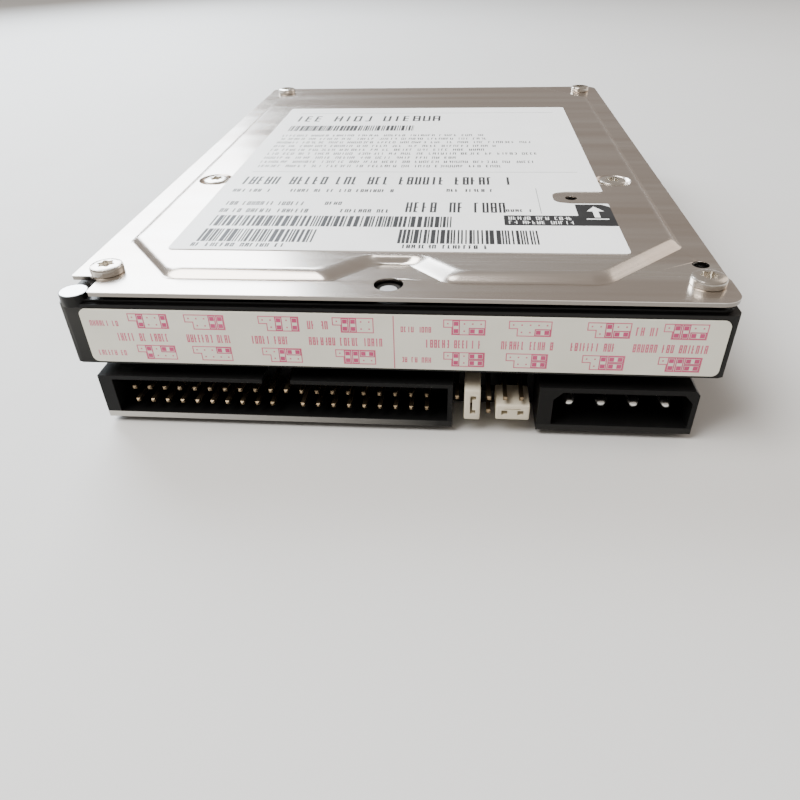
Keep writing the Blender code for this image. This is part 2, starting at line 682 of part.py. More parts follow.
def pins():
    """Contacts of each connector, held in an insert at the back of the shroud."""
    low = 3.7
    high = 7.6
    signal = box("ide_pins", (-43.0, INSERT_FRONT, low), (6.7, INSERT_BACK, high), "gold")
    join_all(signal, pin_rows(IDE_FIRST_PIN, 20, PIN_TIP, (0, MISSING_PIN)))
    jumper = box("jumper_pins", (BAY_LEFT + 0.25, INSERT_FRONT, low), (22.0, INSERT_BACK, high),
                 "gold")
    join_all(jumper, pin_rows(JUMPER_FIRST_PIN, 5, JUMPER_TIP, (0, 0)))

    last_power = POWER_FIRST_PIN + 3 * POWER_PITCH
    power = box("power_pins", (POWER_FIRST_PIN - 1.6, 8.3, POWER_ROW - 1.3),
                (last_power + 1.6, INSERT_BACK, POWER_ROW + 1.3), "plated")
    contacts = []
    radius = POWER_PIN_RADIUS
    reach = INSERT_BACK - 0.3 - POWER_TIP
    profile = [(0.0, 0.0), (radius * 0.55, -0.1), (radius, -0.8), (radius, -reach), (0.0, -reach)]
    for column in range(4):
        contact = turned("power_pin", profile, (0.0, 0.0))
        contact.rotation_euler = (math.pi / 2, 0.0, 0.0)
        contact.location = to_world(POWER_FIRST_PIN + POWER_PITCH * column, POWER_TIP, POWER_ROW)
        contacts.append(contact)
    join_all(power, contacts)


def join_all(target, tools):
    """Unite many tools at once, through a collection."""
    group = bpy.data.collections.new(f"{target.name}_contacts")
    TOOLS.children.link(group)
    for tool in tools:
        TOOLS.objects.unlink(tool)
        group.objects.link(tool)
    modifier = target.modifiers.new("Contacts", "BOOLEAN")
    modifier.operation = "UNION"
    modifier.operand_type = "COLLECTION"
    modifier.collection = group


def shunt(name, low, high, columns, rows):
    """A jumper shunt that slides on two pins: a block with a bore for each pin."""
    block = box(name, low, high, "cream_plastic", 0.25)
    clear = PIN / 2 + 0.16
    bores = []
    for column in columns:
        for row in rows:
            x = JUMPER_FIRST_PIN + PITCH * column
            z = PIN_ROWS[row]
            bores.append(box("bore", (x - clear, low[1] - 1, z - clear),
                             (x + clear, high[1] + 1, z + clear)))
    cut(block, *bores)


# ------------------------------------------------------------------------------ spindle
def spindle_motor():
    flange = [(5.6, 13.2), (5.6, 7.8), (12.3, 7.8), (12.3, 6.1), (15.9, 6.1), (15.9, 4.9),
              (4.4, 4.9), (4.4, 13.2)]
    turned("motor_flange", flange, SPINDLE, "aluminium", ROUND)
    core = ring("stator_core", 5.9, 7.0, 9.6, 12.4, SPINDLE, "steel")
    windings = ring("stator_windings", 7.5, 8.3, 8.15, 8.7, SPINDLE, "copper")
    teeth = []
    coils = []
    bores = []
    for index in range(9):
        turn = Matrix.Rotation(math.tau * index / 9, 4, "Z")
        for group, low, high in ((teeth, (6.5, -0.7, 9.6), (9.2, 0.7, 12.4)),
                                 (coils, (7.3, -1.6, 8.5), (8.8, 1.6, 13.5)),
                                 (bores, (6.0, -0.9, 9.4), (10.0, 0.9, 12.6))):
            piece = box("segment", low, high)
            centre = piece.location - to_world(0.0, 0.0, 0.0)
            piece.location = to_world(*SPINDLE, 0.0) + turn @ centre
            piece.rotation_euler = turn.to_euler()
            group.append(piece)
    join_all(core, teeth)
    join_all(windings, coils)
    cut(windings, *bores)
    for name, low in (("spindle_bearing_lower", 5.1), ("spindle_bearing_upper", 10.6)):
        ring(name, 2.2, 4.2, low, low + 2.4, SPINDLE, "steel", 24)


def spindle_rotor():
    turned("spindle_shaft", [(0.0, 16.6), (2.0, 16.6), (2.0, 5.2), (0.0, 5.2)], SPINDLE, "steel",
           24)
    hub = [(HUB_RADIUS, 17.2), (HUB_RADIUS, DISC_BOTTOMS[0] - 0.1), (15.0, DISC_BOTTOMS[0] - 0.1),
           (15.0, 10.5), (HUB_RADIUS, 10.5), (HUB_RADIUS, 9.0), (11.2, 9.0), (11.2, 15.0),
           (2.2, 15.0), (2.2, 17.2)]
    turned("spindle_hub", hub, SPINDLE, "aluminium", ROUND)
    ring("rotor_magnet", 9.6, 11.0, 9.2, 14.2, SPINDLE, "magnet", ROUND)
    for name, low in zip(("platter_lower", "platter_upper"), DISC_BOTTOMS):
        ring(name, DISC_BORE, DISC_RADIUS, low, low + DISC_THICKNESS, SPINDLE, "disc", FINE)
    spacer = (DISC_BOTTOMS[0] + DISC_THICKNESS + 0.1, DISC_BOTTOMS[1] - 0.1)
    ring("platter_spacer", DISC_BORE, 15.0, *spacer, SPINDLE, "aluminium", ROUND)
    clamp = [(15.4, 18.2), (15.4, 17.5), (2.0, 17.5), (2.0, 18.9), (9.0, 18.9)]
    turned("disc_clamp", clamp, SPINDLE, "aluminium", ROUND)
    torx_screw("clamp_screw", SPINDLE, 19.0, (3.6, 1.6), 2.1, 1.7)


# ----------------------------------------------------------------------------- actuator
def reach_point(radius, angle, direction=PARKED):
    """A point at a radius and an angle off the arm's parked direction."""
    turn = math.radians(direction + angle)
    return (PIVOT[0] + radius * math.cos(turn), PIVOT[1] + radius * math.sin(turn))


def along_arm(offsets):
    """Turn (reach, sideways) pairs into places for the parked arm."""
    turn = math.radians(PARKED)
    return [(PIVOT[0] + reach * math.cos(turn) - side * math.sin(turn),
             PIVOT[1] + reach * math.sin(turn) + side * math.cos(turn)) for reach, side in offsets]


def actuator():
    pivot_low = FLOOR_TOP + 0.5
    disc("pivot_shaft", 1.9, pivot_low + 0.1, 21.0, PIVOT, "steel")
    ring("pivot_bearing", 2.1, 4.6, pivot_low + 0.2, 20.4, PIVOT, "steel", 24)

    arm = ring("actuator_arm", 4.8, 7.6, 9.55, 19.65, PIVOT, "aluminium", ROUND)
    blade = along_arm([(5.5, -4.6), (20.0, -3.6), (32.0, -2.4), (34.0, 0.0), (32.0, 2.4),
                       (20.0, 3.6), (5.5, 4.6)])
    window = along_arm([(12.0, -2.0), (24.0, -1.3), (24.0, 1.3), (12.0, 2.0)])
    blades = [plate("blade", blade, low, high, holes=[window]) for low, high in ARM_LEVELS]
    back = PARKED + 180.0
    inside = COIL_HALF_ANGLE + 0.9
    fork = [plate("prong", sector(6.4, COIL_OUTER + 0.5, back + side * inside,
                                  back + side * (inside + 3.4)), 13.9, 15.3) for side in (-1, 1)]
    join(arm, *blades, *fork)

    coil = plate("voice_coil", sector(COIL_INNER, COIL_OUTER, back - COIL_HALF_ANGLE,
                                      back + COIL_HALF_ANGLE), 13.6, 15.6, "copper",
                 [sector(COIL_INNER + 3.2, COIL_OUTER - 2.6, back - 7.0, back + 7.0, steps=3)])
    beams = []
    for index, (low, high) in enumerate(BEAM_LEVELS):
        beam = along_arm([(29.0, -2.2), (36.0, -2.0), (47.0, -0.7), (50.8, -0.4), (50.8, 0.4),
                          (47.0, 0.7), (36.0, 2.0), (29.0, 2.2)])
        beams.append(plate(f"suspension_{index + 1}", beam, low, high, "stainless"))
    sliders = []
    for index, (low, high) in enumerate(SLIDER_LEVELS):
        slider = along_arm([(HEAD_REACH - 1.2, -0.5), (HEAD_REACH, -0.5), (HEAD_REACH, 0.5),
                            (HEAD_REACH - 1.2, 0.5)])
        sliders.append(plate(f"head_slider_{index + 1}", slider, low, high, "magnet"))
    for piece in [coil, *beams, *sliders]:
        set_pivot(piece, PIVOT)


def voice_coil_motor():
    """Two steel yoke plates with a magnet on the lower one, round the coil's sweep."""
    start = PARKED - 180.0 - 54.0
    end = PARKED - 180.0 + 17.5
    plate("magnet_plate_lower", sector(9.0, 23.6, start, end, steps=10), 9.6, 11.2, "steel")
    plate("magnet_lower", sector(9.6, 22.8, start + 2, end - 2, steps=10), 11.5, 13.2, "magnet")
    plate("magnet_plate_upper", sector(9.0, 23.6, start, end, steps=10), 16.6, 18.6, "steel")


def load_ramp():
    """A comb beside the discs; its two tongues lift the suspension tips."""
    ramp = box("load_ramp", (-42.8, 55.4, FLOOR_TOP + 0.2), (-38.4, 60.6, 19.6), "ramp")
    tongues = [box("tongue", (-39.0, 55.4, low), (-34.0, 59.2, high))
               for low, high in ((11.1, 13.45), (15.75, 18.05))]
    join(ramp, *tongues)


def actuator_latch():
    """A small lever whose hook keeps the parked coil from swinging."""
    x, d = LATCH_PIVOT
    latch = disc("actuator_latch", 1.6, 13.9, 15.3, LATCH_PIVOT, "ramp")
    lever = plate("lever", [(x - 1.2, d + 0.9), (x + 1.0, d + 1.2), (x - 2.8, d + 4.4),
                            (x - 4.8, d + 3.3), (x - 4.2, d + 2.2), (x - 2.9, d + 2.7)], 13.9, 15.3)
    join(latch, lever)


def flex_cable():
    """A thin ribbon on edge, in a loose loop from the head connector to the arm."""
    start = Vector((-8.0, 31.5))
    end = Vector(reach_point(8.2, 68.0))
    swing = Vector((-1.0, -7.5))
    middle = []
    for step in range(13):
        share = step / 12
        bend = swing * (4.0 * share * (1.0 - share))
        middle.append(start.lerp(end, share) + bend)
    half = 0.15
    left = []
    right = []
    for index, point in enumerate(middle):
        before = middle[max(index - 1, 0)]
        after = middle[min(index + 1, len(middle) - 1)]
        across = (after - before).normalized().orthogonal() * half
        left.append(tuple(point + across))
        right.append(tuple(point - across))
    plate("flex_cable", left + right[::-1], 9.6, 17.0, "flex")


def filters():
    box("recirculation_filter", (38.6, 56.0, FLOOR_TOP + 0.3), (42.6, 63.0, 19.0), "felt", 0.4)


# --------------------------------------------------------------------------- build it
clear_scene()
PARTS = new_collection("hard_disk_drive")
TOOLS = new_collection("tools")

base_casting()
top_cover()
cover_gasket()
cover_screws()
board_screws()
labels()
circuit_board()
chips()
connector_housing()
pins()
shunt("jumper_shunt_upright", (11.95, -0.4, 2.5), (14.5, 5.6, 8.25), [1], [0, 1])
shunt("jumper_shunt_flat", (17.0, -0.4, 2.7), (22.35, 5.6, 5.55), [3, 4], [0])
spindle_motor()
spindle_rotor()
actuator()
voice_coil_motor()
load_ramp()
actuator_latch()
flex_cable()
filters()
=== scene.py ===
"""Looks of a 3.5-inch parallel-ATA hard disk drive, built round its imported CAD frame.

Lengths are in millimetres and a place is (x, d, z), where d runs from the casting's
connector-end face towards the far end; at() turns a place into metres in the frame.
"""

import math
import random

import bmesh
import bpy
from mathutils import Matrix, Vector


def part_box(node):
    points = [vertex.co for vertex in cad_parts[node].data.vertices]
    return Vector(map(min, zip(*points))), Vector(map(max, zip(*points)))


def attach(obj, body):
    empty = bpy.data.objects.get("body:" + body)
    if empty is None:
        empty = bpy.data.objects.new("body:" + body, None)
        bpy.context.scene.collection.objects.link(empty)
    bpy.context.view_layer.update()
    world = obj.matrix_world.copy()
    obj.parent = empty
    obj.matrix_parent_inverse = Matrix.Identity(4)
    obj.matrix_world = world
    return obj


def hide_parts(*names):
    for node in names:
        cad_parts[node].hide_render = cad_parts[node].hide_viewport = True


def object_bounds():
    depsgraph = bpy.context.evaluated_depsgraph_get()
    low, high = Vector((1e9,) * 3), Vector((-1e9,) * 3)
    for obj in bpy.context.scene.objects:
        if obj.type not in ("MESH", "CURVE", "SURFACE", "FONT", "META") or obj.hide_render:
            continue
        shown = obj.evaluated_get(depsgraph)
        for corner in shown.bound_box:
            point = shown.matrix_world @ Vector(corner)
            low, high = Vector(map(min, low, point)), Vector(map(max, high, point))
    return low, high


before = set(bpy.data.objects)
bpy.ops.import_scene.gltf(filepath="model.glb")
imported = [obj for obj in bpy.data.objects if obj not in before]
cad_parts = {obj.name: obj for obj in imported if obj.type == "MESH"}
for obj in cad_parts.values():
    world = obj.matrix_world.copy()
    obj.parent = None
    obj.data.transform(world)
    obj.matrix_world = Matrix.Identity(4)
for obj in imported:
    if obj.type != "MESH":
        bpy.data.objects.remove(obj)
CAD_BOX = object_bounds()

MM = 0.001
PROUD = 0.5                      # the connector stands this far ahead of the casting
CASTING_FRONT = CAD_BOX[0].y + PROUD * MM
COVER_LOW, COVER_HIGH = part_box("top_cover")
WIDTH = (CAD_BOX[1][0] - CAD_BOX[0][0]) / MM
CASTING_DEPTH = (CAD_BOX[1][1] - CASTING_FRONT) / MM

# Cover.
SHEET = 0.7
FIELD_TOP = COVER_HIGH.z / MM
FIELD_RISE = 1.2
FLANGE_TOP = FIELD_TOP - FIELD_RISE
FIELD_FOOT = [                   # corners (x, d, radius) of the step's lower bend
    (-35.0, 5.2, 3.0), (-8.9, 5.2, 2.5), (-2.6, 11.7, 3.0), (2.6, 11.7, 3.0), (8.7, 5.2, 2.5),
    (32.4, 5.4, 5.0), (46.4, 19.4, 2.5), (46.4, 126.0, 2.5), (34.0, 140.8, 4.0),
    (-34.0, 140.8, 4.0), (-46.4, 126.0, 2.5), (-46.4, 19.4, 2.5),
]
FIELD_CREST = [                  # and of its upper bend
    (-34.3, 6.9, 3.5), (-11.0, 6.9, 3.0), (-5.0, 12.5, 4.0), (5.0, 12.5, 4.0), (10.8, 6.9, 3.0),
    (31.7, 7.1, 5.0), (44.7, 20.1, 2.5), (44.7, 125.3, 2.5), (33.3, 139.1, 4.0),
    (-33.3, 139.1, 4.0), (-44.7, 125.3, 2.5), (-44.7, 20.1, 2.5),
]
PRESS_END = 1.3                  # share of the slope where the upper bend is over
CORNER_SCREWS = [(-45.2, 7.3), (47.0, 6.1), (-45.4, 139.2), (45.4, 139.2)]
SIDE_SCREWS = [(-40.4, 50.0), (40.4, 50.0)]
DIMPLE_RADIUS = 3.7
DIMPLE_SLOPE = 0.7
SCREW_HOLE_RADIUS = 1.7
MIDDLE_HOLE = (0.0, 4.4)
MIDDLE_HOLE_RADIUS = 2.25
TOOLING_HOLE = (47.8, 12.9)
TOOLING_HOLE_RADIUS = 1.3
BREATHER = (31.0, 39.5)
BREATHER_RADIUS = 1.1
LOCATING_POST = (-48.5, 1.75)
LOCATING_POST_RADIUS = 2.2
LOCATING_POST_TOP = 23.3

# Connectors.
PITCH = 2.54
PIN = 0.64
PIN_ROWS = [4.1, 6.64]
IDE_FIRST_PIN = -42.3
MISSING_PIN = (0, 10)
JUMPER_FIRST_PIN = 10.75
POWER_FIRST_PIN = 28.7
POWER_PITCH = 5.08
POWER_ROW = 4.6
POWER_TIP = 1.9
PIN_TIP = 0.2
JUMPER_TIP = -0.1
SHUNTED_TIP = 1.4                # a pin whose end is inside a shunt
PIN_TAIL = 9.0
HEADERS = [                      # (low, high) places of the bars that carry the contacts
    ((-43.0, 7.75, 3.75), (6.7, 9.2, 7.55)),
    ((10.4, 7.75, 3.75), (21.95, 9.2, 7.55)),
    ((27.15, 8.35, 3.35), (45.5, 9.2, 5.85)),
]
# the lip's painted highlight lies ahead of LIP_BACK and below LIP_TOP, and fades out from LIP_LEFT
# to LIP_RIGHT
LIP_BACK = -0.42                 # the shroud's lower lip is ahead of this d
LIP_TOP = 2.1
LIP_LEFT, LIP_RIGHT = -44.0, 8.0
BOARD_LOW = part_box("circuit_board")[0].z / MM

# Labels.
LABEL_FACE = FIELD_TOP + 0.12
TOP_LABEL = (-37.6, 37.3, 13.7, 112.0)
END_LABEL = (-47.5, 49.4, 11.9, 21.2)
END_LABEL_FACE = (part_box("end_label")[0].y - CASTING_FRONT) / MM
INK = 0.012                      # how far the print stands off its label
BAR_CODES = [                    # (left, right, near, far)
    (-33.8, -14.0, 17.0, 22.6), (-33.8, 9.1, 24.0, 29.1), (0.2, 23.5, 16.9, 22.9),
    (-33.8, -2.0, 88.0, 93.0),
]
SMALL_ROWS = [
    (-34.2, -17.5, 14.9, 16.4), (1.0, 16.0, 14.9, 16.4), (-34.1, -17.0, 30.7, 32.6),
    (-11.5, -2.0, 30.9, 32.6), (-34.1, -18.0, 34.5, 36.5), (-15.0, -11.0, 34.8, 36.5),
    (-34.8, -27.0, 42.0, 43.7), (-23.5, -2.0, 42.0, 43.7), (7.6, 17.2, 42.4, 44.0),
    (18.6, 24.0, 31.7, 33.0),
]
MIDDLE_ROWS = [(0.4, 7.0, 31.2, 36.4), (8.4, 19.5, 31.2, 36.4)]
LARGE_ROWS = [(-34.5, -26.0, 46.6, 51.4), (-24.5, 20.4, 46.6, 51.4)]
JUMPER_DIAGRAMS = [              # (start, upper row, lower row) of each half of the end label;
    (-39.8,                      # a diagram is (offset, *shunts), a shunt (column, row, across)
     ((0, (1, 0, 0), (4, 0, 0)), (8.9, (3, 0, 0), (4, 0, 0)),
      (20.4, (2, 0, 0), (4, 0, 0)), (31.7, (1, 0, 0), (2, 0, 0))),
     ((0.2, (1, 0, 0), (3, 0, 1)), (9.2, (3, 0, 1)), (20.3, (2, 0, 0), (3, 0, 1)),
      (31.8, (1, 0, 0), (2, 0, 0), (3, 0, 1)))),
    (8.5,
     ((0, (1, 0, 0), (3, 1, 1)), (9.6, (3, 1, 1)), (20.9, (2, 0, 0), (3, 1, 1)),
      (31.7, (1, 0, 0), (2, 0, 0), (3, 1, 1))),
     ((0.1, (1, 0, 0), (3, 0, 1), (3, 1, 1)), (9.5, (3, 0, 1), (3, 1, 1)),
      (20.8, (2, 0, 0), (3, 0, 1), (3, 1, 1)),
      (31.9, (1, 0, 0), (2, 0, 0), (3, 0, 1), (3, 1, 1)))),
]
CAPTIONS = [(-2.6, 6.0), (8.6, 16.8), (18.8, 25.8), (27.8, 39.4)]

# Board.
PART_ROWS = [                    # (left, near, count, 1 for capacitors or 0 for resistors)
    (-38.0, 36.0, 6, 0), (-38.0, 44.0, 6, 1), (-24.0, 24.0, 7, 0), (8.0, 24.0, 7, 1),
    (8.0, 58.0, 5, 0), (30.0, 40.0, 5, 1), (30.0, 47.0, 5, 0), (-12.0, 56.0, 6, 0),
    (-12.0, 64.0, 6, 1), (14.0, 68.0, 8, 0), (-38.0, 74.0, 4, 1), (-30.0, 50.0, 3, 0),
]


# ---- geometry
def at(x, d, z):
    """A place in metres in the frame."""
    return Vector((x * MM, CASTING_FRONT + d * MM, z * MM))


def arc(centre, radius, start, end, steps):
    """Points along an arc between two angles in degrees."""
    points = []
    for step in range(steps + 1):
        angle = math.radians(start + (end - start) * step / steps)
        points.append((centre[0] + radius * math.cos(angle),
                       centre[1] + radius * math.sin(angle)))
    return points


def circle(centre, radius, count=48):
    """Points round a full circle."""
    return arc(centre, radius, 0, 360 - 360 / count, count - 1)


def rounded(corners, steps=8):
    """An outline from corners (x, d, radius), with an arc at each rounded corner."""
    points = []
    count = len(corners)
    for index, (x, d, radius) in enumerate(corners):
        corner = Vector((x, d))
        if radius == 0.0:
            points.append((x, d))
            continue
        back = (Vector(corners[index - 1][:2]) - corner).normalized()
        ahead = (Vector(corners[(index + 1) % count][:2]) - corner).normalized()
        half = back.angle(ahead) / 2
        centre = corner + (back + ahead).normalized() * (radius / math.sin(half))
        first = corner + back * (radius / math.tan(half)) - centre
        last = corner + ahead * (radius / math.tan(half)) - centre
        turn = first.angle_signed(last)
        for step in range(steps + 1):
            spoke = first.copy()
            spoke.rotate(Matrix.Rotation(-turn * step / steps, 2))
            points.append(tuple(centre + spoke))
    return points


def rectangle(left, right, near, far, radius=0.0, steps=6):
    """A rectangle with equal corner radii."""
    return rounded([(left, near, radius), (right, near, radius),
                    (right, far, radius), (left, far, radius)], steps)


def piece(name, data, material, body="base", replaces=()):
    """Link a mesh or curve, in place in the frame, as a piece that rides on a body."""
    if isinstance(data, bmesh.types.BMesh):
        mesh = bpy.data.meshes.new(name)
        data.to_mesh(mesh)
        data.free()
        data = mesh
    obj = bpy.data.objects.new(name, data)
    bpy.context.scene.collection.objects.link(obj)
    data.materials.clear()
    data.materials.append(material)
    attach(obj, body)
    if replaces:
        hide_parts(*replaces)
    return obj


def smooth(obj, angle=35.0):
    """Shade smooth, except across edges sharper than an angle in degrees."""
    obj.data.shade_smooth()
    obj.data.set_sharp_from_angle(angle=math.radians(angle))
    return obj


def bake(obj, angle=35.0):
    """Turn an object's modifiers into its mesh."""
    bpy.context.view_layer.update()
    graph = bpy.context.evaluated_depsgraph_get()
    mesh = bpy.data.meshes.new_from_object(obj.evaluated_get(graph))
    obj.modifiers.clear()
    obj.data = mesh
    return smooth(obj, angle)


def soften(obj, width, segments=2, angle=28.0):
    """Rounded edges with clean shading on the flats between them."""
    obj.data.shade_smooth()
    bevel = obj.modifiers.new("Bevel", "BEVEL")
    bevel.width = width * MM
    bevel.segments = segments
    bevel.limit_method = "ANGLE"
    bevel.angle_limit = math.radians(angle)
    bevel.miter_outer = "MITER_ARC"
    normals = obj.modifiers.new("Weighted normals", "WEIGHTED_NORMAL")
    normals.keep_sharp = True
    return obj


def refined(node, material, width=0.15, segments=2, body="base"):
    """A copy of a CAD node with its flat faces merged and its edges rounded."""
    shape = bmesh.new()
    shape.from_mesh(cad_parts[node].data)
    bmesh.ops.remove_doubles(shape, verts=shape.verts, dist=1e-6)
    bmesh.ops.dissolve_limit(shape, angle_limit=math.radians(2.0), verts=shape.verts,
                             edges=shape.edges)
    obj = piece(f"{node}_shape", shape, material, body, [node])
    return soften(obj, width, segments)


def flat_layer(outline, holes, height):
    """A flat layer with holes, as a mesh, filled by a 2D curve."""
    curve = bpy.data.curves.new("layer", "CURVE")
    curve.dimensions = "2D"
    curve.fill_mode = "FRONT"
    for ring in [outline, *holes]:
        spline = curve.splines.new("POLY")
        spline.points.add(len(ring) - 1)
        spline.use_cyclic_u = True
        for point, (x, d) in zip(spline.points, ring):
            point.co = (*at(x, d, 0.0).to_2d(), 0.0, 1.0)
    flat = bpy.data.objects.new("layer", curve)
    bpy.context.scene.collection.objects.link(flat)
    bpy.context.view_layer.update()
    graph = bpy.context.evaluated_depsgraph_get()
    mesh = bpy.data.meshes.new_from_object(flat.evaluated_get(graph))
    bpy.data.objects.remove(flat, do_unlink=True)
    bpy.data.curves.remove(curve)
    mesh.transform(Matrix.Translation((0.0, 0.0, height * MM)))
    return mesh


def slab(outline, low, high, holes=()):
    """A flat piece between two heights."""
    shape = bmesh.new()
    shape.from_mesh(flat_layer(outline, holes, low))
    bmesh.ops.remove_doubles(shape, verts=shape.verts, dist=1e-7)
    made = bmesh.ops.extrude_face_region(shape, geom=shape.faces[:])
    top = [item for item in made["geom"] if isinstance(item, bmesh.types.BMVert)]
    bmesh.ops.translate(shape, verts=top, vec=(0.0, 0.0, (high - low) * MM))
    bmesh.ops.recalc_face_normals(shape, faces=shape.faces)
    return shape


def add_box(shape, low, high):
    """Add a block between two corners in metres to a mesh."""
    made = bmesh.ops.create_cube(shape, size=1.0)["verts"]
    bmesh.ops.scale(shape, vec=high - low, verts=made)
    bmesh.ops.translate(shape, vec=(low + high) / 2, verts=made)
    return made


def blocks(places):
    """One mesh of blocks, each from a (low, high) pair of places."""
    shape = bmesh.new()
    for low, high in places:
        add_box(shape, at(*low), at(*high))
    return shape


def lathe(profile, centre, steps=48):
    """A turned mesh from (radius, z) points that start and end on the axis."""
    shape = bmesh.new()
    points = [shape.verts.new(at(centre[0] + radius, centre[1], z)) for radius, z in profile]
    edges = [shape.edges.new(pair) for pair in zip(points, points[1:])]
    bmesh.ops.spin(shape, geom=points + edges, cent=at(*centre, 0.0), axis=(0.0, 0.0, 1.0),
                   angle=math.tau, steps=steps, use_merge=True)
    bmesh.ops.remove_doubles(shape, verts=shape.verts, dist=1e-7)
    bmesh.ops.recalc_face_normals(shape, faces=shape.faces)
    return shape


# ---- materials
def add_node(tree, kind, inputs=None, **settings):
    """Add a shader node; an input is either a socket to link from or a value."""
    made = tree.nodes.new(kind)
    for name, value in settings.items():
        setattr(made, name, value)
    for name, value in (inputs or {}).items():
        if isinstance(value, bpy.types.NodeSocket):
            tree.links.new(value, made.inputs[name])
        else:
            made.inputs[name].default_value = value
    return made


def new_surface(name, metallic=0.0, **shader_inputs):
    """A material with its tree, its shader and the object coordinates."""
    material = bpy.data.materials.new(name)
    material.use_nodes = True
    tree = material.node_tree
    shader = tree.nodes["Principled BSDF"]
    shader.inputs["Metallic"].default_value = metallic
    for key, value in shader_inputs.items():
        shader.inputs[key.replace("_", " ")].default_value = value
    place = add_node(tree, "ShaderNodeTexCoord").outputs["Object"]
    return material, tree, shader, place


def shade(tree, factor, dark, light, low=0.3, high=0.7):
    """A colour ramp between two colours."""
    ramp = add_node(tree, "ShaderNodeValToRGB", {"Fac": factor})
    ramp.color_ramp.elements[0].position = low
    ramp.color_ramp.elements[1].position = high
    ramp.color_ramp.elements[0].color = (*dark, 1.0)
    ramp.color_ramp.elements[1].color = (*light, 1.0)
    return ramp.outputs["Color"]


def spread(tree, factor, low, high):
    """A 0 to 1 value mapped to a range."""
    made = add_node(tree, "ShaderNodeMapRange", {"Value": factor, "To Min": low, "To Max": high})
    return made.outputs["Result"]


def over(tree, factor, under, colour):
    """A colour laid over another where the factor is 1."""
    made = add_node(tree, "ShaderNodeMix", {"Factor": factor}, data_type="RGBA")
    base, top = (socket for socket in made.inputs if socket.type == "RGBA")
    tree.links.new(under, base)
    top.default_value = (*colour, 1.0)
    return next(socket for socket in made.outputs if socket.type == "RGBA")


def noise(tree, place, scale, stretch=(1.0, 1.0, 1.0), detail=3.0):
    """A 0 to 1 noise value at a place."""
    moved = add_node(tree, "ShaderNodeMapping", {"Vector": place, "Scale": stretch})
    made = add_node(tree, "ShaderNodeTexNoise", {"Vector": moved.outputs["Vector"], "Scale": scale,
                                                 "Detail": detail})
    return made.outputs["Fac"]


def raise_by(tree, shader, height, strength, distance, under=None):
    """Bump the shader by a height, on top of any bump already made."""
    inputs = {"Height": height, "Strength": strength, "Distance": distance * MM}
    if under is not None:
        inputs["Normal"] = under
    made = add_node(tree, "ShaderNodeBump", inputs)
    tree.links.new(made.outputs["Normal"], shader.inputs["Normal"])
    return made.outputs["Normal"]


def mottled(name, dark, light, rough, scale=600.0, stretch=(1.0, 1.0, 1.0), bump=0.15,
            depth=0.02, metallic=0.0, **shader_inputs):
    """A surface whose colour, roughness and height all follow a fine grain."""
    material, tree, shader, place = new_surface(name, metallic, **shader_inputs)
    grain = noise(tree, place, scale, stretch)
    broad = noise(tree, place, scale * 0.07, detail=2.0)
    tree.links.new(shade(tree, broad, dark, light), shader.inputs["Base Color"])
    tree.links.new(spread(tree, grain, *rough), shader.inputs["Roughness"])
    raise_by(tree, shader, grain, bump, depth)
    return material


def painted_casting():
    """Black electrocoat over a cast surface: fine orange peel, and a lighter colour on sharp
    edges.
    """
    material, tree, shader, place = new_surface("painted_casting", Specular_IOR_Level=0.16)
    peel = noise(tree, place, 1500.0)
    cast = noise(tree, place, 220.0)
    # sharp, pointy edges get a lighter colour than the flats
    edge = add_node(tree, "ShaderNodeNewGeometry").outputs["Pointiness"]
    lighter_on_sharp_edges = shade(tree, edge, (0.0045, 0.0045, 0.0045), (0.040, 0.039, 0.036), 0.53, 0.62)
    tree.links.new(lighter_on_sharp_edges, shader.inputs["Base Color"])
    tree.links.new(spread(tree, cast, 0.26, 0.46), shader.inputs["Roughness"])
    first = raise_by(tree, shader, cast, 0.25, 0.05)
    raise_by(tree, shader, peel, 0.25, 0.012, first)
    return material


def rolled_stainless():
    """Bright rolled sheet: a long fine grain along X, a slight waviness and a darker cut edge,
    partly a duller sheared edge and partly painted shade that dims its reflection."""
    material, tree, shader, place = new_surface("rolled_stainless", 1.0, Anisotropic=0.35)
    grain = noise(tree, place, 1.0, (60.0, 4200.0, 4200.0), 4.0)
    streak = noise(tree, place, 1.0, (9.0, 190.0, 190.0), 2.0)
    wave = noise(tree, place, 38.0, detail=1.0)
    tone = shade(tree, streak, (0.56, 0.49, 0.435), (0.67, 0.63, 0.585), 0.32, 0.68)
    height = add_node(tree, "ShaderNodeSeparateXYZ", {"Vector": place}).outputs["Z"]
    # darker below the flange face, on the cut edge: partly a duller sheared edge, partly painted
    # shade that dims the edge's reflection of the pale floor
    edge = add_node(tree, "ShaderNodeMath", {0: height, 1: (FLANGE_TOP - 0.12) * MM},
                    operation="LESS_THAN").outputs[0]
    tree.links.new(over(tree, edge, tone, (0.27, 0.245, 0.22)), shader.inputs["Base Color"])
    mixed = add_node(tree, "ShaderNodeMath", {0: grain, 1: streak}, operation="MULTIPLY")
    tree.links.new(spread(tree, mixed.outputs[0], 0.17, 0.40), shader.inputs["Roughness"])
    first = raise_by(tree, shader, wave, 0.30, 0.20)
    raise_by(tree, shader, grain, 0.10, 0.004, first)
    return material


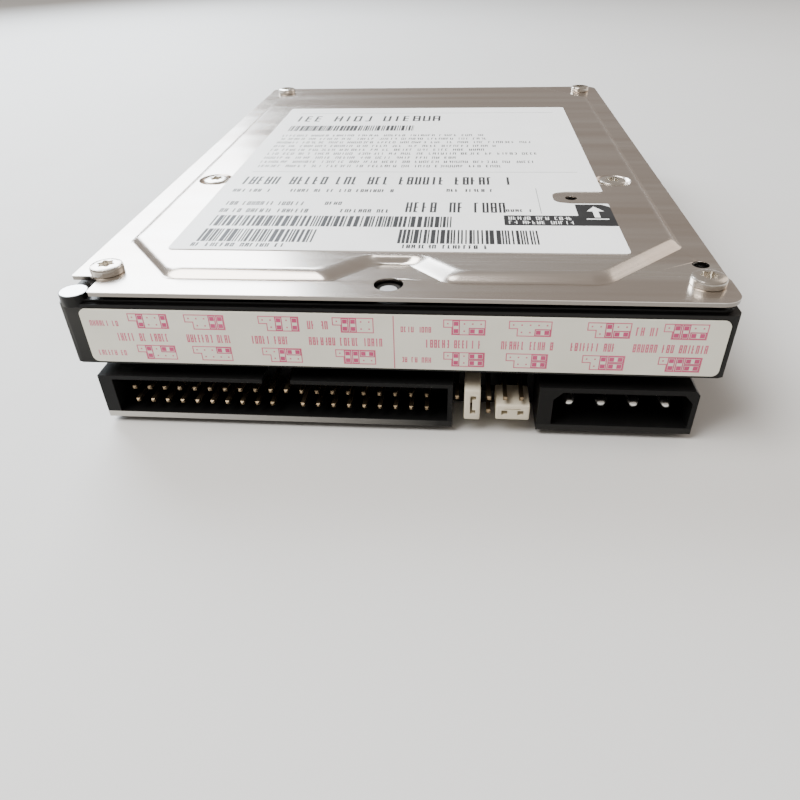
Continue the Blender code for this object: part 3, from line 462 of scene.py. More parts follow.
def moulding_with_painted_lip_highlight():
    """Black moulding with a painted highlight: a pale band on the lower wall's front lip that
    fades to the right.
    """
    material, tree, shader, place = new_surface("moulding_with_painted_lip_highlight", Specular_IOR_Level=0.14)
    grain = noise(tree, place, 1100.0)
    spot = add_node(tree, "ShaderNodeSeparateXYZ", {"Vector": place}).outputs
    # painted highlight: the front of the lower lip is coloured pale, fading out from left to right
    front = add_node(tree, "ShaderNodeMath", {0: spot["Y"], 1: at(0.0, LIP_BACK, 0.0).y},
                     operation="LESS_THAN").outputs[0]
    under = add_node(tree, "ShaderNodeMath", {0: spot["Z"], 1: LIP_TOP * MM},
                     operation="LESS_THAN").outputs[0]
    lip = add_node(tree, "ShaderNodeMath", {0: front, 1: under}, operation="MULTIPLY").outputs[0]
    fade = add_node(tree, "ShaderNodeMapRange", {
        "Value": spot["X"], "From Min": LIP_LEFT * MM, "From Max": LIP_RIGHT * MM,
        "To Min": 1.0, "To Max": 0.02}).outputs["Result"]
    painted_lip_highlight = add_node(tree, "ShaderNodeMath", {0: lip, 1: fade}, operation="MULTIPLY").outputs[0]
    tree.links.new(shade(tree, painted_lip_highlight, (0.006, 0.006, 0.006), (0.60, 0.59, 0.55), 0.0, 1.0),
                   shader.inputs["Base Color"])
    tree.links.new(spread(tree, grain, 0.32, 0.5), shader.inputs["Roughness"])
    raise_by(tree, shader, grain, 0.3, 0.02)
    return material


def turned_metal(name, dark, light, rough, centre):
    """Machined metal with fine rings round a vertical axis."""
    material, tree, shader, place = new_surface(name, 1.0)
    hub = at(*centre, 0.0)
    moved = add_node(tree, "ShaderNodeMapping", {"Vector": place, "Location": -hub})
    rings = add_node(tree, "ShaderNodeTexWave", {"Vector": moved.outputs["Vector"],
                                                 "Scale": 900.0, "Distortion": 0.6},
                     wave_type="RINGS", rings_direction="Z")
    grain = noise(tree, place, 900.0)
    tree.links.new(shade(tree, grain, dark, light), shader.inputs["Base Color"])
    tree.links.new(spread(tree, rings.outputs["Fac"], *rough), shader.inputs["Roughness"])
    raise_by(tree, shader, rings.outputs["Fac"], 0.12, 0.01)
    return material


def solder_mask():
    """Green mask over copper: lighter where tracks run under it."""
    material, tree, shader, place = new_surface("solder_mask", Coat_Weight=0.5,
                                                Coat_Roughness=0.15)
    tracks = []
    for turn, width, height in ((0.0, 9.0, 0.8), (math.pi / 2, 14.0, 1.1)):
        moved = add_node(tree, "ShaderNodeMapping", {"Vector": place,
                                                     "Rotation": (0.0, 0.0, turn)})
        made = add_node(tree, "ShaderNodeTexBrick", {
            "Vector": moved.outputs["Vector"], "Color1": (0, 0, 0, 1), "Color2": (0, 0, 0, 1),
            "Mortar": (1, 1, 1, 1), "Scale": 1.0, "Mortar Size": 0.22 * MM,
            "Mortar Smooth": 0.1, "Brick Width": width * MM, "Row Height": height * MM},
            offset_frequency=3, squash=0.7, squash_frequency=2)
        tracks.append(made.outputs["Fac"])
    patch = add_node(tree, "ShaderNodeMath", {0: noise(tree, place, 70.0), 1: 0.52},
                     operation="GREATER_THAN").outputs[0]
    both = add_node(tree, "ShaderNodeMix", {"Factor": patch, "A": tracks[0], "B": tracks[1]})
    lines = both.outputs["Result"]
    tree.links.new(shade(tree, lines, (0.008, 0.055, 0.028), (0.020, 0.125, 0.060), 0.2, 0.8),
                   shader.inputs["Base Color"])
    tree.links.new(spread(tree, noise(tree, place, 500.0), 0.25, 0.4),
                   shader.inputs["Roughness"])
    raise_by(tree, shader, lines, 0.4, 0.03)
    return material


def wound_copper():
    """Enamelled wire in close turns."""
    material, tree, shader, place = new_surface("wound_copper", 0.9)
    turns = add_node(tree, "ShaderNodeTexWave", {"Vector": place, "Scale": 1100.0,
                                                 "Distortion": 1.0}, bands_direction="Z")
    tree.links.new(shade(tree, turns.outputs["Fac"], (0.30, 0.11, 0.045), (0.80, 0.36, 0.17)),
                   shader.inputs["Base Color"])
    tree.links.new(spread(tree, turns.outputs["Fac"], 0.3, 0.5), shader.inputs["Roughness"])
    raise_by(tree, shader, turns.outputs["Fac"], 0.6, 0.08)
    return material


SPINDLE = (0.0, 95.2)
CASTING = painted_casting()
STAINLESS = rolled_stainless()
BOARD = solder_mask()
COPPER = wound_copper()
MACHINED = turned_metal("machined_aluminium", (0.62, 0.63, 0.64), (0.76, 0.77, 0.78),
                        (0.18, 0.42), SPINDLE)
POST_FACE = mottled("machined_face", (0.72, 0.72, 0.71), (0.88, 0.88, 0.87), (0.22, 0.45),
                    900.0, (1.0, 6.0, 1.0), 0.2, 0.01, 1.0)
PLATED = mottled("plated_screw", (0.60, 0.56, 0.50), (0.78, 0.75, 0.70), (0.14, 0.34), 1300.0,
                 bump=0.2, depth=0.012, metallic=1.0)
LABEL = mottled("label_stock", (0.90, 0.91, 0.91), (0.94, 0.95, 0.95), (0.34, 0.5), 1800.0,
                bump=0.12, depth=0.006)
END_STOCK = mottled("end_label_stock", (0.76, 0.75, 0.65), (0.82, 0.81, 0.71), (0.38, 0.52),
                    1800.0, bump=0.12, depth=0.006)
BLACK_INK = mottled("black_print", (0.008, 0.008, 0.009), (0.016, 0.016, 0.017), (0.45, 0.6),
                    2500.0, Specular_IOR_Level=0.25)
GREY_INK = mottled("grey_print", (0.22, 0.23, 0.23), (0.32, 0.33, 0.33), (0.4, 0.6), 2500.0)
PINK_INK = mottled("pink_print", (0.52, 0.055, 0.16), (0.60, 0.085, 0.21), (0.4, 0.6), 2500.0)
PALE_PINK_INK = mottled("pale_pink_print", (0.60, 0.13, 0.20), (0.68, 0.18, 0.26), (0.4, 0.6),
                        2500.0)
MOULDING = mottled("black_moulding", (0.004, 0.004, 0.004), (0.009, 0.009, 0.009), (0.32, 0.52),
                   1100.0, bump=0.3, depth=0.02, Specular_IOR_Level=0.14)
HOUSING = moulding_with_painted_lip_highlight()
EPOXY = mottled("chip_epoxy", (0.016, 0.016, 0.017), (0.030, 0.030, 0.032), (0.5, 0.72), 3000.0,
                bump=0.4, depth=0.02)
CREAM = mottled("cream_moulding", (0.68, 0.61, 0.47), (0.78, 0.72, 0.58), (0.36, 0.55), 900.0,
                bump=0.15, depth=0.02)
GOLD = mottled("gold_contact", (0.17, 0.125, 0.075), (0.30, 0.23, 0.15), (0.34, 0.52), 1600.0,
               metallic=1.0)
TIN = mottled("tin_contact", (0.72, 0.72, 0.70), (0.90, 0.90, 0.88), (0.12, 0.32), 1600.0,
              metallic=1.0)
SOLDER = mottled("solder", (0.58, 0.58, 0.57), (0.78, 0.78, 0.77), (0.18, 0.40), 1200.0,
                 metallic=1.0)
STEEL = mottled("ground_steel", (0.50, 0.50, 0.50), (0.68, 0.68, 0.67), (0.2, 0.42), 700.0,
                (1.0, 8.0, 1.0), metallic=1.0)
RUBBER = mottled("seal_rubber", (0.010, 0.010, 0.010), (0.022, 0.022, 0.022), (0.6, 0.85), 800.0,
                 bump=0.5, depth=0.05)
FOAM = mottled("foam_sheet", (0.030, 0.030, 0.030), (0.065, 0.065, 0.065), (0.85, 1.0), 1500.0,
               bump=0.9, depth=0.15)
FELT = mottled("filter_felt", (0.70, 0.70, 0.68), (0.86, 0.86, 0.84), (0.9, 1.0), 1400.0,
               bump=0.9, depth=0.15)
FILM = mottled("flex_film", (0.42, 0.20, 0.04), (0.60, 0.31, 0.08), (0.25, 0.45), 500.0)
RAMP = mottled("ramp_moulding", (0.66, 0.62, 0.50), (0.76, 0.73, 0.62), (0.4, 0.6), 900.0)
MAGNET = mottled("plated_magnet", (0.42, 0.42, 0.43), (0.58, 0.58, 0.59), (0.25, 0.5), 900.0,
                 metallic=1.0)
MIRROR_DISC = mottled("disc_surface", (0.78, 0.79, 0.80), (0.82, 0.83, 0.84), (0.03, 0.07),
                      500.0, bump=0.02, depth=0.002, metallic=1.0)
CERAMIC = mottled("slider_ceramic", (0.10, 0.10, 0.11), (0.17, 0.17, 0.18), (0.15, 0.3), 2500.0)
TAN_CHIP = mottled("capacitor_body", (0.42, 0.30, 0.18), (0.55, 0.42, 0.28), (0.4, 0.6), 2000.0)


# ---- cover
def field_outline(share):
    """Edge of the raised field at a share of the way up its slope, from foot to crest."""
    corners = []
    for foot, crest in zip(FIELD_FOOT, FIELD_CREST):
        corners.append(tuple(low + (high - low) * share for low, high in zip(foot, crest)))
    return rounded(corners)


def cover_outline():
    """Edge of the cover: a little wider at the near right corner, and cut back round the
    locating post."""
    full = WIDTH / 2
    side = full - 0.25
    near = (COVER_LOW.y - CASTING_FRONT) / MM
    far = CASTING_DEPTH - 0.3
    return rounded([
        (-45.6, near, 0.5), (full, near, 3.0), (full, 7.5, 0.0), (side, 8.2, 0.0),
        (side, far, 3.0), (-side, far, 3.0), (-side, 5.7, 0.3), (-47.2, 5.7, 1.0),
        (-45.6, 4.2, 0.6),
    ])


def blend_low(value, limit, width):
    """The lesser of a value and a limit, rounded where they meet."""
    overlap = max(width - abs(value - limit), 0.0) / width
    return min(value, limit) - overlap * overlap * width / 4


def pressed_profile(count=18):
    """(share of the slope, share of the rise) pairs: a tight bend at the foot and a wide
    one at the crest."""
    pairs = []
    for index in range(count + 1):
        share = -0.12 + (PRESS_END + 0.12) * index / count
        climb = -blend_low(-1.25 * share, 0.0, 0.3)
        pairs.append((share, blend_low(climb, 1.0, 0.62)))
    return pairs


def bridge(shape, rings):
    """Faces between neighbouring rings of points."""
    rows = [[shape.verts.new(at(x, d, z)) for x, d in ring] for ring, z in rings]
    for lower, upper in zip(rows, rows[1:]):
        for index in range(len(lower)):
            shape.faces.new((lower[index - 1], lower[index], upper[index], upper[index - 1]))


def top_cover():
    """The pressed sheet: flange, sloped step, raised field and two screw recesses."""
    steps = pressed_profile()
    sheet = bmesh.new()
    slope = [(field_outline(share), FLANGE_TOP + FIELD_RISE * rise) for share, rise in steps]
    bridge(sheet, slope)
    screw_holes = [circle(place, SCREW_HOLE_RADIUS, 32) for place in CORNER_SCREWS]
    holes = [*screw_holes, circle(MIDDLE_HOLE, MIDDLE_HOLE_RADIUS),
             circle(TOOLING_HOLE, TOOLING_HOLE_RADIUS)]
    layers = [flat_layer(cover_outline(), [slope[0][0], *holes], FLANGE_TOP)]
    recesses = []
    for place in SIDE_SCREWS:
        wall = []
        for share, rise in reversed(steps):
            reach = DIMPLE_RADIUS - DIMPLE_SLOPE * (PRESS_END - share)
            wall.append((circle(place, reach), FLANGE_TOP + FIELD_RISE * rise))
        bridge(sheet, wall)
        recesses.append(wall[0][0])
        layers.append(flat_layer(wall[-1][0], [circle(place, SCREW_HOLE_RADIUS, 32)], FLANGE_TOP))
    layers.append(flat_layer(slope[-1][0], [*recesses, circle(BREATHER, BREATHER_RADIUS, 32)],
                             FIELD_TOP))
    for layer in layers:
        sheet.from_mesh(layer)
    bmesh.ops.remove_doubles(sheet, verts=sheet.verts, dist=2e-6)
    bmesh.ops.recalc_face_normals(sheet, faces=sheet.faces)
    if max(sheet.faces, key=lambda face: face.calc_area()).normal.z < 0:
        bmesh.ops.reverse_faces(sheet, faces=sheet.faces)
    cover = piece("cover_sheet", sheet, STAINLESS, replaces=["top_cover"])
    thickness = cover.modifiers.new("Solidify", "SOLIDIFY")
    thickness.thickness = SHEET * MM
    thickness.offset = -1.0
    return soften(cover, 0.09, 2, 60.0)


def star(centre, radius, lobes=6, count=48):
    """A six-lobed driver outline."""
    points = []
    for index in range(count):
        angle = math.tau * index / count
        reach = radius * (0.86 + 0.14 * math.cos(lobes * angle))
        points.append((centre[0] + reach * math.cos(angle), centre[1] + reach * math.sin(angle)))
    return points


def fine_screw(node, place, seat, radius, height, flip=1.0):
    """A cheese-head screw with a six-lobed recess; flip of -1 points its head down."""
    def level(share):
        return seat + flip * height * share

    profile = [(0.0, level(1.0)), (radius * 0.62, level(0.99)), (radius * 0.86, level(0.92)),
               (radius * 0.95, level(0.85)), (radius * 0.99, level(0.74)), (radius, level(0.6)),
               (radius, level(0.08)), (radius - 0.1, seat), (1.15, seat),
               (1.15, seat - flip * 3.0), (0.0, seat - flip * 3.4)]
    screw = piece(f"{node}_fine", lathe(profile, place), PLATED, replaces=[node])
    ends = sorted((level(0.3), seat + flip * (height + 1.0)))
    recess = bpy.data.objects.new("driver", bpy.data.meshes.new("driver"))
    tool = slab(star(place, radius * 0.54), *ends)
    tool.to_mesh(recess.data)
    tool.free()
    bpy.context.scene.collection.objects.link(recess)
    hollow = screw.modifiers.new("Recess", "BOOLEAN")
    hollow.object = recess
    bake(screw, 30.0)
    bpy.data.objects.remove(recess, do_unlink=True)
    screw.data.materials.clear()
    screw.data.materials.append(PLATED)
    return screw


def screws():
    """The six cover screws, then the four under the board."""
    for index, place in enumerate(CORNER_SCREWS + SIDE_SCREWS):
        fine_screw(f"cover_screw_{index + 1}", place, FLANGE_TOP + 0.02, 2.6, 1.45)
    for index in range(4):
        low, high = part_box(f"board_screw_{index + 1}")
        middle = (low + high) / 2
        place = (middle.x / MM, (middle.y - CASTING_FRONT) / MM)
        fine_screw(f"board_screw_{index + 1}", place, BOARD_LOW - 0.02, 2.2, 1.25, -1.0)


# ---- casting
def casting():
    """The black casting, and the bare faces of its post and middle boss."""
    refined("base_casting", CASTING, 0.22, 2)
    face = LOCATING_POST_TOP
    radius = LOCATING_POST_RADIUS
    piece("locating_post_face", lathe([(0.0, face + 0.03), (radius - 0.16, face + 0.03),
                                       (radius - 0.04, face - 0.1), (0.0, face - 0.1)],
                                      LOCATING_POST), POST_FACE)
    low = FLANGE_TOP - SHEET
    piece("middle_boss_face", lathe([(0.0, low + 0.03), (1.3, low + 0.03), (1.38, low - 0.05),
                                     (0.0, low - 0.05)], (0.0, 4.1)), POST_FACE)
    for name, material in (("cover_gasket", RUBBER), ("board_insulator", FOAM)):
        keep(name, material)


def keep(node, material):
    """Give a CAD node that stays its procedural surface."""
    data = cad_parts[node].data
    data.materials.clear()
    data.materials.append(material)


# ---- labels
def print_shapes(name, shapes, material, lay, out, thickness=INK):
    """Thin printed shapes, each a closed outline of (u, v), laid on a label face."""
    shape = bmesh.new()
    for outline in shapes:
        low = [shape.verts.new(lay(u, v)) for u, v in outline]
        high = [shape.verts.new(vert.co + out * thickness * MM) for vert in low]
        shape.faces.new(low)
        shape.faces.new(high)
        for index in range(len(low)):
            shape.faces.new((low[index - 1], low[index], high[index], high[index - 1]))
    bmesh.ops.recalc_face_normals(shape, faces=shape.faces)
    return piece(name, shape, material)


def bar(left, right, low, high):
    """An upright rectangle of print."""
    return [(left, low), (right, low), (right, high), (left, high)]


def bar_code(rng, left, right, low, high):
    """Bars of irregular width and spacing that encode nothing."""
    bars = []
    x = left
    while x < right:
        width = rng.choice((0.25, 0.3, 0.5, 0.75))
        bars.append(bar(x, min(x + width, right), low, high))
        x += width + rng.choice((0.16, 0.2, 0.28, 0.4))
    return bars


def greeked(rng, left, right, low, high, pitch=0.62, stroke=0.16):
    """A row of unreadable marks: random stems and arms, with gaps like word spaces."""
    marks = []
    x = left
    tall = high - low
    word = rng.randint(3, 8)
    while x + pitch < right:
        word -= 1
        if word == 0:
            word = rng.randint(3, 8)
            x += pitch
            continue
        end = x + pitch * 0.76
        thick = min(stroke * 1.15, tall / 5)
        stems = [side for side, odds in ((x, 0.8), (end - stroke, 0.55)) if rng.random() < odds]
        for side in stems or [(x + end - stroke) / 2]:
            marks.append(bar(side, side + stroke, low, high))
        for level in (low, low + (tall - thick) / 2, high - thick):
            if stems and rng.random() < 0.55:
                marks.append(bar(x + stroke, end - stroke, level, level + thick))
        x += pitch
    return marks


def on_top(u, v):
    """A place on the top label."""
    return at(u, v, LABEL_FACE)


def top_label():
    """White stock with a breather notch, bar codes, greeked rows and a warning block."""
    left, right, near, far = TOP_LABEL
    notch = [(right, 36.2, 0.4), (30.6, 36.2, 3.0), (27.6, 37.0, 2.0), (27.6, 42.0, 2.0),
             (30.6, 42.8, 3.0), (right, 42.8, 0.4)]
    outline = rounded([(left, near, 0.8), (right, near, 0.8), *notch, (right, far, 0.8),
                       (left, far, 0.8)])
    sheet = piece("top_label_sheet", slab(outline, FIELD_TOP + 0.01, LABEL_FACE), LABEL,
                  replaces=["top_label"])
    smooth(sheet)
    rng = random.Random(7)
    dark = []
    for box in BAR_CODES:
        dark += bar_code(rng, *box)
    for box in SMALL_ROWS:
        dark += greeked(rng, *box, 0.84, 0.26)
    for box in MIDDLE_ROWS:
        dark += greeked(rng, *box, 1.5, 0.42)
    for box in LARGE_ROWS:
        dark += greeked(rng, *box, 1.6, 0.46)
    for row in range(9):
        low = 58.0 + row * 3.1
        dark += greeked(rng, -34.0, 8.0 + rng.uniform(0.0, 22.0), low, low + 1.6, 0.9, 0.2)
    dark += greeked(rng, -34.0, 6.0, 97.5, 103.0, 2.6, 0.55)
    soft = [bar(24.75, 24.9, 31.0, 44.6), bar(-34.0, 34.0, 54.6, 54.8),
            bar(-34.0, 34.0, 106.0, 106.2)]
    block = [rounded([(18.1, 25.2, 0.3), (right, 25.2, 0.2), (right, 34.6, 1.0),
                      (right - 1.4, 35.7, 1.0), (31.15, 35.7, 0.3), (31.15, 30.0, 0.2),
                      (18.1, 30.0, 0.3)], 3)]
    up = Vector((0.0, 0.0, 1.0))
    print_shapes("top_label_black", dark + block, BLACK_INK, on_top, up)
    print_shapes("top_label_grey", soft, GREY_INK, on_top, up)
    top_label_reversed(rng)


def top_label_reversed(rng):
    """White marks on the dark block: greeked rows and a plain up arrow."""
    def above(u, v):
        return at(u, v, LABEL_FACE + INK)

    marks = greeked(rng, 18.9, 30.6, 27.9, 29.3, 0.8, 0.16)
    marks += greeked(rng, 18.9, 30.6, 25.9, 27.3, 0.8, 0.16)
    marks.append([(33.9, 29.2), (34.9, 29.2), (34.9, 32.2), (35.9, 32.2), (34.4, 34.6),
                  (32.9, 32.2), (33.9, 32.2)])
    marks.append(bar(32.4, 36.2, 28.2, 28.6))
    print_shapes("top_label_white", marks, LABEL, above, Vector((0.0, 0.0, 1.0)))


def on_end(u, v):
    """A place on the end label."""
    return at(u, END_LABEL_FACE, v)


def frame_lines(points, stroke):
    """Lines along an outline of right angles, which meet without overlapping."""
    lines = []
    half = stroke / 2
    for start, end in zip(points, points[1:] + points[:1]):
        step = (Vector(end) - Vector(start)).normalized() * half
        first = Vector(start) - step
        last = Vector(end) - step
        side = Vector((abs(step.y), abs(step.x)))
        lines.append(bar(min(first.x, last.x) - side.x, max(first.x, last.x) + side.x,
                         min(first.y, last.y) - side.y, max(first.y, last.y) + side.y))
    return lines


def pictogram(left, high, width, shunts):
    """A jumper diagram: a stepped outline, pin dots and the shunts that are fitted."""
    cell = width / 5
    low = high - 2 * cell
    lines = frame_lines([(left, high), (left + width, high), (left + width, low),
                         (left + cell, low), (left + cell, high - cell), (left, high - cell)],
                        0.16)
    solid = []
    taken = set()
    for column, row, across in shunts:
        u = left + column * cell + 0.13
        v = high - row * cell - 0.1
        end_u = u + (2 if across else 1) * cell - 0.26
        end_v = v - (1 if across else 2) * cell + 0.2
        solid += frame_lines([(u, v), (end_u, v), (end_u, end_v), (u, end_v)], 0.15)
        for step in (0, 1):
            spot = (column + step, row) if across else (column, row + step)
            taken.add(spot)
            solid.append(dot(left, high, cell, spot, 0.34))
    for column in range(5):
        for row in range(2):
            if (column, row) not in taken and (column, row) != (0, 1):
                lines.append(dot(left, high, cell, (column, row), 0.12))
    return lines, solid


def dot(left, high, cell, spot, half):
    """A square at a pin's place in a jumper diagram."""
    u = left + (spot[0] + 0.5) * cell
    v = high - (spot[1] + 0.5) * cell
    return bar(u - half, u + half, v - half, v + half)


def end_label():
    """Off-white stock with rows of jumper diagrams and greeked captions in pink."""
    left, right, low, high = END_LABEL
    outline = rounded([(left, low, 1.0), (right, low, 1.0), (right, high, 1.0), (left, high, 1.0)])
    stock = bmesh.new()
    near = [stock.verts.new(at(u, END_LABEL_FACE, v)) for u, v in outline]
    far = [stock.verts.new(at(u, -0.01, v)) for u, v in outline]
    stock.faces.new(near)
    stock.faces.new(far)
    for index in range(len(near)):
        stock.faces.new((near[index - 1], near[index], far[index], far[index - 1]))
    bmesh.ops.recalc_face_normals(stock, faces=stock.faces)
    piece("end_label_sheet", stock, END_STOCK, replaces=["end_label"])

    rng = random.Random(11)
    thin = [bar(0.96, 1.12, low + 0.1, high - 0.1)]
    bold = []
    text = []
    for start, upper, lower in JUMPER_DIAGRAMS:
        for top, row in ((20.6, upper), (15.05, lower)):
            for offset, *shunts in row:
                lines, solid = pictogram(start + offset, top, 6.1, shunts)
                thin += lines
                bold += solid
        for near_end, far_end in CAPTIONS:
            text += greeked(rng, start + near_end, start + far_end, 15.8, 17.2, 0.60, 0.19)
        for low_end in (18.4, 13.1):
            text += greeked(rng, start - 6.4, start - 1.4, low_end, low_end + 0.95, 0.52, 0.15)
        text += greeked(rng, start + 27.8, start + 31.2, 18.6, 20.0, 0.66, 0.2)
    out = Vector((0.0, -1.0, 0.0))
    print_shapes("end_label_lines", thin, PALE_PINK_INK, on_end, out)
    print_shapes("end_label_text", text, PALE_PINK_INK, on_end, out)
    print_shapes("end_label_marks", bold, PINK_INK, on_end, out, 1.6 * INK)


# ---- connectors
def pin_bar(shape, x, z, tip, tail):
    """A square pin with a chamfered tip."""
    half = PIN / 2
    made = add_box(shape, at(x - half, tip, z - half), at(x + half, tail, z + half))
    front = at(0.0, tip, 0.0).y
    tips = [vert for vert in made if vert.co.y < front + 1e-6]
    centre = at(x, tip, z)
    body = bmesh.ops.extrude_face_region(shape, geom=[face for face in shape.faces
                                                      if all(v in tips for v in face.verts)])
    ends = [item for item in body["geom"] if isinstance(item, bmesh.types.BMVert)]
    for vert in ends:
        vert.co = centre + (vert.co - centre) * 0.45
        vert.co.y = front - 0.28 * MM
    stale = [face for face in shape.faces if all(v in tips for v in face.verts)]
    bmesh.ops.delete(shape, geom=stale, context="FACES_ONLY")


def contacts():
    """The signal, jumper and power pins."""
    signal = bmesh.new()
    for row, z in enumerate(PIN_ROWS):
        for column in range(20):
            if (row, column) != MISSING_PIN:
                pin_bar(signal, IDE_FIRST_PIN + PITCH * column, z, PIN_TIP, PIN_TAIL)
    piece("signal_contacts", signal, GOLD, replaces=["ide_pins"])

    jumper = bmesh.new()
    shunted = {(0, 1), (1, 1), (0, 3), (0, 4)}
    for row, z in enumerate(PIN_ROWS):
        for column in range(5):
            if (row, column) != (0, 0):
                tip = SHUNTED_TIP if (row, column) in shunted else JUMPER_TIP
                pin_bar(jumper, JUMPER_FIRST_PIN + PITCH * column, z, tip, PIN_TAIL)
    piece("jumper_contacts", jumper, GOLD, replaces=["jumper_pins"])

    power = bmesh.new()
    stand = Matrix.Rotation(math.pi / 2, 4, "X")
    profile = [(0.0, 0.0), (0.30, -0.04), (0.52, -0.14), (0.70, -0.34), (0.92, -0.80),
               (1.05, -1.25), (1.05, -7.0), (0.0, -7.0)]
    for column in range(4):
        pin = lathe(profile, (0.0, 0.0), 32)
        mesh = bpy.data.meshes.new("pin")
        pin.to_mesh(mesh)
        pin.free()
        mesh.transform(Matrix.Translation(-at(0.0, 0.0, 0.0)))
        mesh.transform(stand)
        mesh.transform(Matrix.Translation(at(POWER_FIRST_PIN + POWER_PITCH * column, POWER_TIP,
                                             POWER_ROW)))
        power.from_mesh(mesh)
    obj = piece("power_contacts", power, TIN, replaces=["power_pins"])
    smooth(obj, 50.0)


def housing():
    """The connector moulding and the bars that carry its contacts."""
    refined("connector_housing", HOUSING, 0.14, 2)
    soften(piece("contact_headers", blocks(HEADERS), MOULDING), 0.1)


def shunt(node, body, slots):
    """A shunt with a rounded block, square wells over its pins and a test slot."""
    low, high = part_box(node)
    shape = bmesh.new()
    add_box(shape, low, high)
    block = piece(f"{node}_block", shape, CREAM, body, [node])
    rounding = block.modifiers.new("Bevel", "BEVEL")
    rounding.width = 0.28 * MM
    rounding.segments = 3
    tools = []
    for index, (left, right, bottom, top, depth) in enumerate(slots):
        cutter = bpy.data.objects.new(f"{node}_well", bpy.data.meshes.new("well"))
        well = blocks([((left, -2.0, bottom), (right, depth, top))])
        well.to_mesh(cutter.data)
        well.free()
        bpy.context.scene.collection.objects.link(cutter)
        hollow = block.modifiers.new(f"Well {index}", "BOOLEAN")
        hollow.object = cutter
        tools.append(cutter)
    bake(block, 38.0)
    block.data.materials.clear()
    block.data.materials.append(CREAM)
    for cutter in tools:
        bpy.data.objects.remove(cutter, do_unlink=True)


def shunts():
    """The two jumper shunts, each on a body of its own."""
    first = JUMPER_FIRST_PIN + PITCH
    low, high = PIN_ROWS
    shunt("jumper_shunt_upright", "upright_shunt",
          [(first - 0.42, first + 0.50, low - 0.45, low + 0.30, 5.0),
           (first - 0.42, first + 0.50, high - 0.30, high + 0.45, 5.0),
           (first - 0.42, first - 0.05, low, high, 1.6)])
    wells = []
    for column in (3, 4):
        x = JUMPER_FIRST_PIN + PITCH * column
        wells.append((x - 0.48, x - 0.06, low - 0.46, low + 0.40, 5.0))
        wells.append((x - 0.10, x + 0.48, low - 0.34, low + 0.40, 5.0))
    start = JUMPER_FIRST_PIN + PITCH * 3
    wells.append((start, start + PITCH, low + 0.62, low + 0.74, 0.25))
    shunt("jumper_shunt_flat", "flat_shunt", wells)


# ---- board underside
def board():
    """The circuit board and what is mounted on it."""
    refined("circuit_board", BOARD, 0.08, 1)
    for node in ("controller_chip", "buffer_memory", "motor_driver"):
        refined(node, EPOXY, 0.12, 2)
    keep("head_connector", MOULDING)
    refined("motor_flange", MACHINED, 0.2, 2)
    leads()
    passives()
    solder_joints()


def leads():
    """Gull-wing leads on two or four sides of each package."""
    metal = bmesh.new()
    for node, pitch, sides in (("controller_chip", 0.8, 4), ("buffer_memory", 1.27, 2),
                               ("motor_driver", 0.8, 4)):
        low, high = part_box(node)
        middle = (low + high) / 2
        for turn in range(sides):
            spin = Matrix.Rotation(math.tau * turn / sides, 3, "Z")
            half = high - middle
            run, reach = (half.y, half.x) if turn % 2 == 0 or sides == 2 else (half.x, half.y)
            count = int((2 * run - 1.2 * MM) / (pitch * MM)) + 1
            for index in range(count):
                along = (index - (count - 1) / 2) * pitch * MM
                foot(metal, middle, spin, reach, along, pitch * 0.42 * MM)
    piece("chip_leads", metal, SOLDER)


def foot(shape, middle, spin, reach, along, width):
    """One lead: a shoulder out of the package, a drop and a flat foot on the board."""
    board_face = (BOARD_LOW - 0.02) * MM
    shoulder = middle.z
    runs = (((reach - 0.1 * MM, shoulder - 0.08 * MM), (reach + 0.5 * MM, shoulder + 0.08 * MM)),
            ((reach + 0.38 * MM, shoulder - 0.08 * MM), (reach + 0.54 * MM, board_face)),
            ((reach + 0.38 * MM, board_face - 0.16 * MM), (reach + 1.2 * MM, board_face)))
    for (near, bottom), (far, top) in runs:
        made = add_box(shape, Vector((near, along - width / 2, bottom)),
                       Vector((far, along + width / 2, top)))
        for vert in made:
            turned = spin @ Vector((vert.co.x, vert.co.y, 0.0))
            vert.co = Vector((middle.x + turned.x, middle.y + turned.y, vert.co.z))


def passives():
    """Small two-ended parts in short rows round the packages, kept off the big ones."""
    rng = random.Random(5)
    tan = bmesh.new()
    black = bmesh.new()
    caps = bmesh.new()
    for left, near, count, kind in PART_ROWS:
        for index in range(count):
            x = left + index * 2.3
            d = near + rng.choice((0.0, 0.0, 0.6))
            face = BOARD_LOW - 0.02
            size = 0.55 if kind else 0.35
            add_box(tan if kind else black, at(x, d + 0.35, face - size),
                    at(x + 0.9, d + 1.35, face))
            for start in (0.0, 1.3):
                add_box(caps, at(x - 0.03, d + start, face - size - 0.02),
                        at(x + 0.93, d + start + 0.4, face))
    piece("ceramic_capacitors", tan, TAN_CHIP)
    piece("chip_resistors", black, EPOXY)
    piece("component_ends", caps, SOLDER)


def solder_joints():
    """Domes of solder where the connector tails come through, and plated vias."""
    joints = bmesh.new()
    face = BOARD_LOW - 0.01
    for row in range(2):
        for column in range(20):
            dome(joints, (IDE_FIRST_PIN + PITCH * column, 11.2 + PITCH * row), face, 0.72, 0.55)
        for column in range(5):
            dome(joints, (JUMPER_FIRST_PIN + PITCH * column, 11.2 + PITCH * row), face, 0.72, 0.55)
    for column in range(4):
        dome(joints, (POWER_FIRST_PIN + POWER_PITCH * column, 12.6), face, 1.5, 0.8)
    rng = random.Random(3)
    for _ in range(150):
        dome(joints, (rng.uniform(-42.0, 42.0), rng.uniform(18.0, 72.0)), face, 0.3, 0.04)
    smooth(piece("solder_joints", joints, SOLDER), 60.0)


def dome(shape, place, face, radius, height):
    """A flattened cone of solder that hangs below the board."""
    cap = bmesh.ops.create_cone(shape, cap_ends=True, segments=12, radius1=radius * 0.35 * MM,
                                radius2=radius * MM, depth=height * MM)["verts"]
    bmesh.ops.translate(shape, verts=cap, vec=at(*place, face - height / 2))


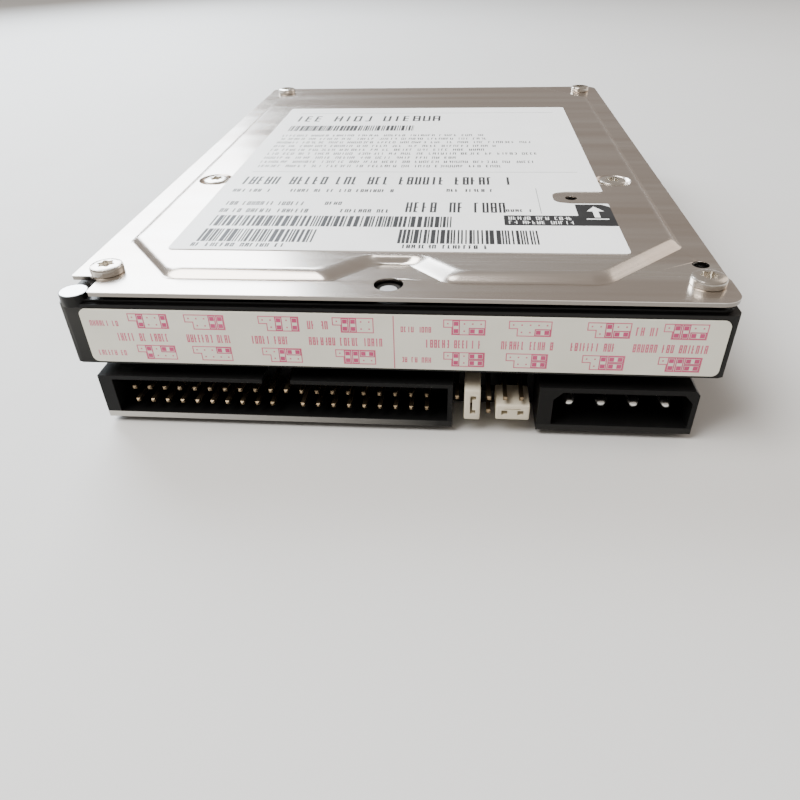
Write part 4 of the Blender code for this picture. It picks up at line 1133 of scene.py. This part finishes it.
# ---- interior
def interior():
    """Surfaces for the parts inside, which keep their CAD shapes."""
    looks = {
        "stator_core": STEEL, "stator_windings": COPPER, "spindle_bearing_lower": STEEL,
        "spindle_bearing_upper": STEEL, "spindle_shaft": STEEL, "rotor_magnet": MAGNET,
        "platter_lower": MIRROR_DISC, "platter_upper": MIRROR_DISC, "pivot_shaft": STEEL,
        "pivot_bearing": STEEL, "voice_coil": COPPER, "magnet_plate_lower": STEEL,
        "magnet_plate_upper": STEEL, "magnet_lower": MAGNET, "flex_cable": FILM,
        "load_ramp": RAMP, "actuator_latch": RAMP, "recirculation_filter": FELT,
        "platter_spacer": MACHINED, "disc_clamp": MACHINED, "clamp_screw": PLATED,
        "spindle_hub": MACHINED, "actuator_arm": MACHINED,
    }
    for index in range(1, 5):
        looks[f"suspension_{index}"] = STEEL
        looks[f"head_slider_{index}"] = CERAMIC
    for node, material in looks.items():
        keep(node, material)


# ---- floor, light, camera
def studio():
    """A pale floor, an even surround and three soft lamps."""
    floor = bmesh.new()
    bmesh.ops.create_grid(floor, x_segments=1, y_segments=1, size=2.0)
    mesh = bpy.data.meshes.new("floor")
    floor.to_mesh(mesh)
    floor.free()
    ground = bpy.data.objects.new("floor", mesh)
    bpy.context.scene.collection.objects.link(ground)
    ground.location.z = -0.05 * MM
    mesh.materials.append(mottled("floor_sweep", (0.62, 0.62, 0.61), (0.66, 0.66, 0.65),
                                  (0.55, 0.7), 60.0, bump=0.02))

    world = bpy.data.worlds.new("studio")
    bpy.context.scene.world = world
    world.use_nodes = True
    background = world.node_tree.nodes["Background"]
    background.inputs["Color"].default_value = (0.66, 0.59, 0.53, 1.0)
    background.inputs["Strength"].default_value = 0.64

    lamp("window", (-0.34, 0.42, 0.36), 0.42, 9.0, (0.86, 0.93, 1.0))
    lamp("overhead", (-0.33, -0.16, 0.60), 0.46, 8.5, (1.0, 0.98, 0.95))
    lamp("warm_side", (0.48, 0.30, 0.26), 0.40, 0.8, (1.0, 0.86, 0.74))


def lamp(name, place, size, power, colour):
    """A square soft light that faces the drive."""
    light = bpy.data.lights.new(name, "AREA")
    light.size = size
    light.energy = power
    light.color = colour
    obj = bpy.data.objects.new(name, light)
    bpy.context.scene.collection.objects.link(obj)
    obj.location = place
    obj.rotation_euler = (-Vector(place)).to_track_quat("-Z", "Y").to_euler()


def camera():
    """Over the connector end, a little right of centre, looking down at the label."""
    eye = at(10.67, -88.69, 69.28)
    yaw, pitch, roll = (math.radians(angle) for angle in (-5.789, 35.498, -1.690))
    ahead = Vector((math.sin(yaw) * math.cos(pitch), math.cos(yaw) * math.cos(pitch),
                    -math.sin(pitch)))
    level = Vector((math.cos(yaw), -math.sin(yaw), 0.0))
    above = level.cross(ahead)
    right = level * math.cos(roll) + above * math.sin(roll)
    up = above * math.cos(roll) - level * math.sin(roll)
    lens = bpy.data.cameras.new("camera")
    lens.sensor_width = 36.0
    lens.lens = 30.68
    lens.clip_start = 0.005
    view = bpy.data.objects.new("camera", lens)
    bpy.context.scene.collection.objects.link(view)
    turn = Matrix((right, up, -ahead)).transposed().to_4x4()
    view.matrix_world = Matrix.Translation(eye) @ turn
    bpy.context.scene.camera = view


top_cover()
screws()
casting()
top_label()
end_label()
contacts()
housing()
shunts()
board()
interior()
studio()
camera()
